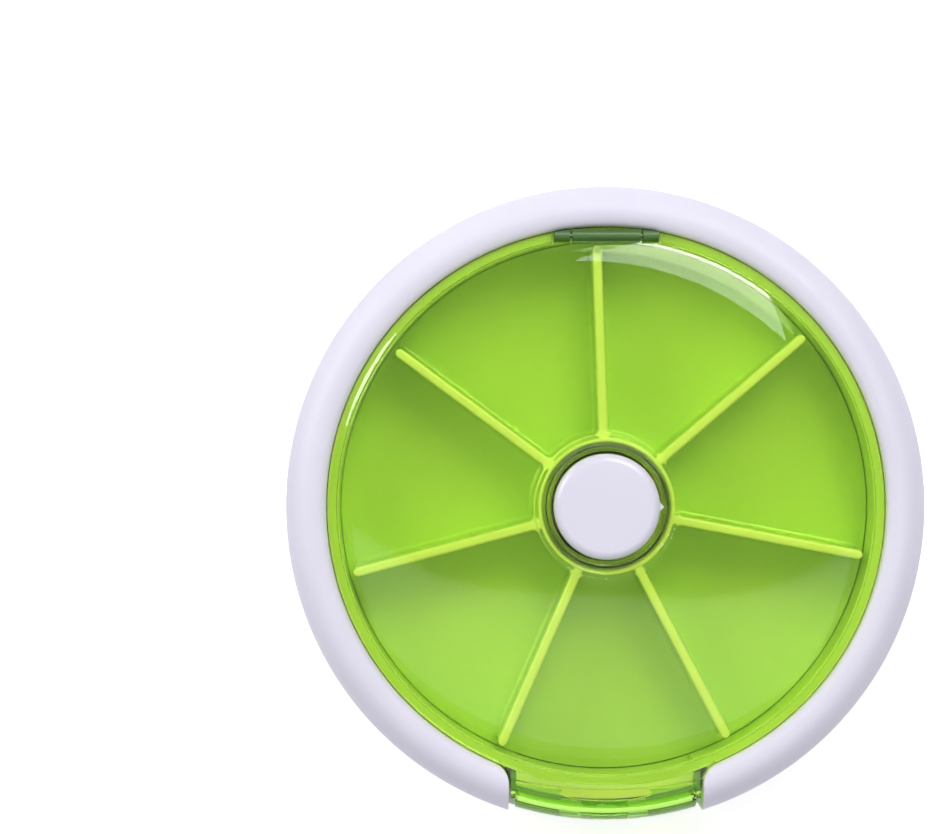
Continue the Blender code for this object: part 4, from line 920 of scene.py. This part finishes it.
def clear_plastic(name, first, second, shade, rough):
    """Clear moulded plastic, through which the lamps reach what lies behind."""
    made, tree, shader = material(name)
    tone_scale, polish_scale = CLEAR_SCALES
    colour = two_tone(tree, noise(tree, tone_scale, 1.0), first, second)
    tree.links.new(colour, shader.inputs["Base Color"])
    tree.links.new(between(tree, noise(tree, polish_scale), *rough), shader.inputs["Roughness"])
    shader.inputs["IOR"].default_value = CLEAR_IOR
    shader.inputs["Transmission Weight"].default_value = 1.0
    path = tree.nodes.new("ShaderNodeLightPath")
    either = tree.nodes.new("ShaderNodeMath")
    either.operation = "MAXIMUM"
    tree.links.new(path.outputs["Is Shadow Ray"], either.inputs[0])
    tree.links.new(path.outputs["Is Diffuse Ray"], either.inputs[1])
    pane = tree.nodes.new("ShaderNodeBsdfTransparent")
    pane.inputs["Color"].default_value = (*shade, 1)
    blend = tree.nodes.new("ShaderNodeMixShader")
    tree.links.new(either.outputs[0], blend.inputs[0])
    tree.links.new(shader.outputs[0], blend.inputs[1])
    tree.links.new(pane.outputs[0], blend.inputs[2])
    tree.links.new(blend.outputs[0], tree.nodes["Material Output"].inputs["Surface"])
    return made


def metal(name, first, second, rough):
    """Drawn or turned steel."""
    made, tree, shader = material(name)
    tone_scale, polish_scale, grain_scale = METAL_SCALES
    colour = two_tone(tree, noise(tree, tone_scale), first, second)
    tree.links.new(colour, shader.inputs["Base Color"])
    tree.links.new(between(tree, noise(tree, polish_scale), *rough), shader.inputs["Roughness"])
    grain(tree, shader, grain_scale, METAL_GRAIN, GLOSSY_DEPTH)
    shader.inputs["Metallic"].default_value = 1.0
    return made


def dress(item, finish, slot, body, *nodes):
    """Gives a piece its material and body, and hides what it stands for; the slot is not used."""
    item.data.materials.clear()
    item.data.materials.append(finish)
    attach(item, body)
    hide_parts(*nodes)


white = plastic(
    "white_plastic", (0.800, 0.775, 0.905), (0.775, 0.752, 0.885), (0.52, 0.62), MATTE_DEPTH
)
glossy_white = plastic(
    "button_plastic", (0.780, 0.755, 0.890), (0.760, 0.738, 0.875), (0.30, 0.36), GLOSSY_DEPTH
)
# Wheel green; its divider and hub tops are painted a lighter yellow-green, a painted light for the
# light they catch over the shaded floor.
green = plastic(
    "green_plastic",
    (0.52, 0.70, 0.13),
    (0.49, 0.67, 0.12),
    (0.34, 0.44),
    FINE_DEPTH,
    scatter=0.25,
    painted_top=(0.84, 0.90, 0.36),
)
wall_green = plastic(
    "wall_green", (0.57, 0.74, 0.16), (0.54, 0.71, 0.15), (0.34, 0.44), FINE_DEPTH, scatter=0.25
)
# The chute's green is the wheel's plastic with painted light, a lighter floor, and painted shade, dark
# green on its cheeks above a height.
chute_painted_light_shade = plastic(
    "chute_painted_light_shade",
    (0.84, 0.90, 0.30),
    (0.81, 0.88, 0.28),
    (0.3, 0.4),
    FINE_DEPTH,
    scatter=0.2,
    painted_top=(0.16, 0.34, 0.04),
    span=CHEEK_SHADE_SPAN,
)
# Near-black green for the lid's hinge barrel and ears: painted shade for the shadowed gap at the lid's
# back, not their own colour.
hinge_painted_shade = plastic(
    "hinge_painted_shade", (0.060, 0.150, 0.022), (0.048, 0.125, 0.018), (0.30, 0.40), SMOOTH_DEPTH
)
clear = clear_plastic(
    "clear_green", (0.81, 0.955, 0.46), (0.79, 0.945, 0.43), (0.91, 0.98, 0.69), (0.02, 0.05)
)
clear_door = clear_plastic(
    "door_green", (0.50, 0.82, 0.16), (0.46, 0.79, 0.14), (0.70, 0.90, 0.40), (0.03, 0.07)
)
nylon = plastic("white_nylon", (0.74, 0.74, 0.71), (0.69, 0.69, 0.66), (0.45, 0.6), COARSE_DEPTH)
steel = metal("bright_steel", (0.66, 0.67, 0.69), (0.52, 0.53, 0.55), (0.18, 0.34))
# Near-black steel for the lid's hinge pin: painted shade for the shadowed hinge gap; the door's pin is
# plain steel.
steel_painted_shade = metal("steel_painted_shade", (0.10, 0.11, 0.10), (0.07, 0.08, 0.07), (0.35, 0.50))

dress(make_base(), white, "white_plastic", "case", "base_shell")
dress(make_ring(), white, "white_plastic", "case", "top_ring")
dress(make_liner(), wall_green, "green_plastic", "case", "well_liner")
dress(make_chute(), chute_painted_light_shade, "green_plastic", "case", "outlet_chute")
dress(make_tray(), green, "green_plastic", "wheel", "pill_tray")
dress(make_lid(), clear, "clear_green", "lid", "lid")
dress(make_barrel(), hinge_painted_shade, "clear_green", "lid", "lid")
dress(make_ear("hinge_ear_left", -1), hinge_painted_shade, "green_plastic", "case", "well_liner")
dress(make_ear("hinge_ear_right", 1), hinge_painted_shade, "green_plastic", "case", "well_liner")
dress(make_door(), clear_door, "clear_green", "door", "dispensing_door")
dress(make_button(), glossy_white, "white_plastic", "button", "push_button")

KEPT = {
    # The lid's hinge pin gets painted shade.
    "lid_hinge_pin": steel_painted_shade,
    "door_hinge_pin": steel,
    "centre_spindle": nylon,
    "spindle_screw": steel,
    "case_screw_1": steel,
    "case_screw_2": steel,
    "case_screw_3": steel,
    "detent_leaf": steel,
    "detent_rivet": steel,
    "return_spring": steel,
    "ratchet_ring": green,
    "cam_plunger": nylon,
    "drive_collar": nylon,
    "pawl_wheel": nylon,
}
for node, finish in KEPT.items():
    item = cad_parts[node]
    item.data.materials.clear()
    item.data.materials.append(finish)


# Floor, light and camera

LAMP_DISTANCE = 0.9
CAMERA_PLACE = (-0.0199, 0.0125, 0.517)
LENS = 139.2
SENSOR_WIDTH = 36
FLOOR_HALF = 1.5
FLOOR_COLOUR = (0.86, 0.86, 0.86, 1)
FLOOR_ROUGHNESS = 0.9
FLOOR_GLOW = 0.55
WHITE_LIGHT = (1, 1, 1, 1)
LIT_LEVEL = 0.52
SEEN_LEVEL = 1.0


def seen_rays(tree):
    """One for camera, glossy and transmission rays, and zero for the rays that light things."""
    path = tree.nodes.new("ShaderNodeLightPath")
    through = tree.nodes.new("ShaderNodeMath")
    through.operation = "MAXIMUM"
    tree.links.new(path.outputs["Is Glossy Ray"], through.inputs[0])
    tree.links.new(path.outputs["Is Transmission Ray"], through.inputs[1])
    seen = tree.nodes.new("ShaderNodeMath")
    seen.operation = "MAXIMUM"
    tree.links.new(path.outputs["Is Camera Ray"], seen.inputs[0])
    tree.links.new(through.outputs[0], seen.inputs[1])
    return seen.outputs[0]


def make_floor():
    """A white floor that keeps the object's shadow."""
    bm = bmesh.new()
    bmesh.ops.create_grid(bm, x_segments=1, y_segments=1, size=FLOOR_HALF)
    floor = put("floor", bm)
    made, tree, shader = material("white_floor")
    shader.inputs["Base Color"].default_value = FLOOR_COLOUR
    shader.inputs["Roughness"].default_value = FLOOR_ROUGHNESS
    glow = tree.nodes.new("ShaderNodeMath")
    glow.operation = "MULTIPLY"
    glow.inputs[1].default_value = FLOOR_GLOW
    tree.links.new(seen_rays(tree), glow.inputs[0])
    shader.inputs["Emission Color"].default_value = WHITE_LIGHT
    tree.links.new(glow.outputs[0], shader.inputs["Emission Strength"])
    floor.data.materials.append(made)


def make_world():
    """White for what is seen, and a plain soft level for what is lit."""
    world = bpy.data.worlds.new("studio")
    bpy.context.scene.world = world
    world.use_nodes = True
    tree = world.node_tree
    tree.nodes.clear()
    out = tree.nodes.new("ShaderNodeOutputWorld")
    lit = tree.nodes.new("ShaderNodeBackground")
    lit.inputs["Color"].default_value = WHITE_LIGHT
    lit.inputs["Strength"].default_value = LIT_LEVEL
    seen = tree.nodes.new("ShaderNodeBackground")
    seen.inputs["Color"].default_value = WHITE_LIGHT
    seen.inputs["Strength"].default_value = SEEN_LEVEL
    blend = tree.nodes.new("ShaderNodeMixShader")
    tree.links.new(seen_rays(tree), blend.inputs[0])
    tree.links.new(lit.outputs[0], blend.inputs[1])
    tree.links.new(seen.outputs[0], blend.inputs[2])
    tree.links.new(blend.outputs[0], out.inputs[0])


def lamp(name, azimuth, elevation, size, power, diffuse=True, glossy=False, shape="RECTANGLE"):
    """A soft lamp that looks at the object from a direction."""
    data = bpy.data.lights.new(name, "AREA")
    data.shape = shape
    data.size, data.size_y = size
    data.energy = power
    item = bpy.data.objects.new(name, data)
    bpy.context.scene.collection.objects.link(item)
    a, e = math.radians(azimuth), math.radians(elevation)
    place = Vector((math.cos(a) * math.cos(e), math.sin(a) * math.cos(e), math.sin(e))) * LAMP_DISTANCE
    item.location = place
    item.rotation_mode = "QUATERNION"
    item.rotation_quaternion = place.to_track_quat("Z", "Y")
    item.visible_diffuse = diffuse
    item.visible_glossy = glossy
    item.visible_camera = False
    return item


def make_camera():
    """The camera straight above, as the photograph was taken."""
    data = bpy.data.cameras.new("camera")
    data.lens = LENS
    data.sensor_width = SENSOR_WIDTH
    camera = bpy.data.objects.new("camera", data)
    bpy.context.scene.collection.objects.link(camera)
    camera.location = CAMERA_PLACE
    bpy.context.scene.camera = camera


make_floor()
make_world()
lamp("key", 72, 50, (0.45, 0.45), 3.1)
lamp("side", 152, 36, (0.40, 0.40), 1.7)
lamp("panel", 64, 61, (0.33, 0.30), 5.0, diffuse=False, glossy=True)
lamp("panel_edge", 64, 49, (0.33, 0.09), 4.5, diffuse=False, glossy=True)
lamp("side_panel", 152, 27, (0.34, 0.28), 9.0, diffuse=False, glossy=True, shape="ELLIPSE")
lamp("ceiling", 268, 77, (0.90, 0.27), 2.0, diffuse=False, glossy=True)
make_camera()

bpy.context.scene.view_settings.view_transform = "Standard"
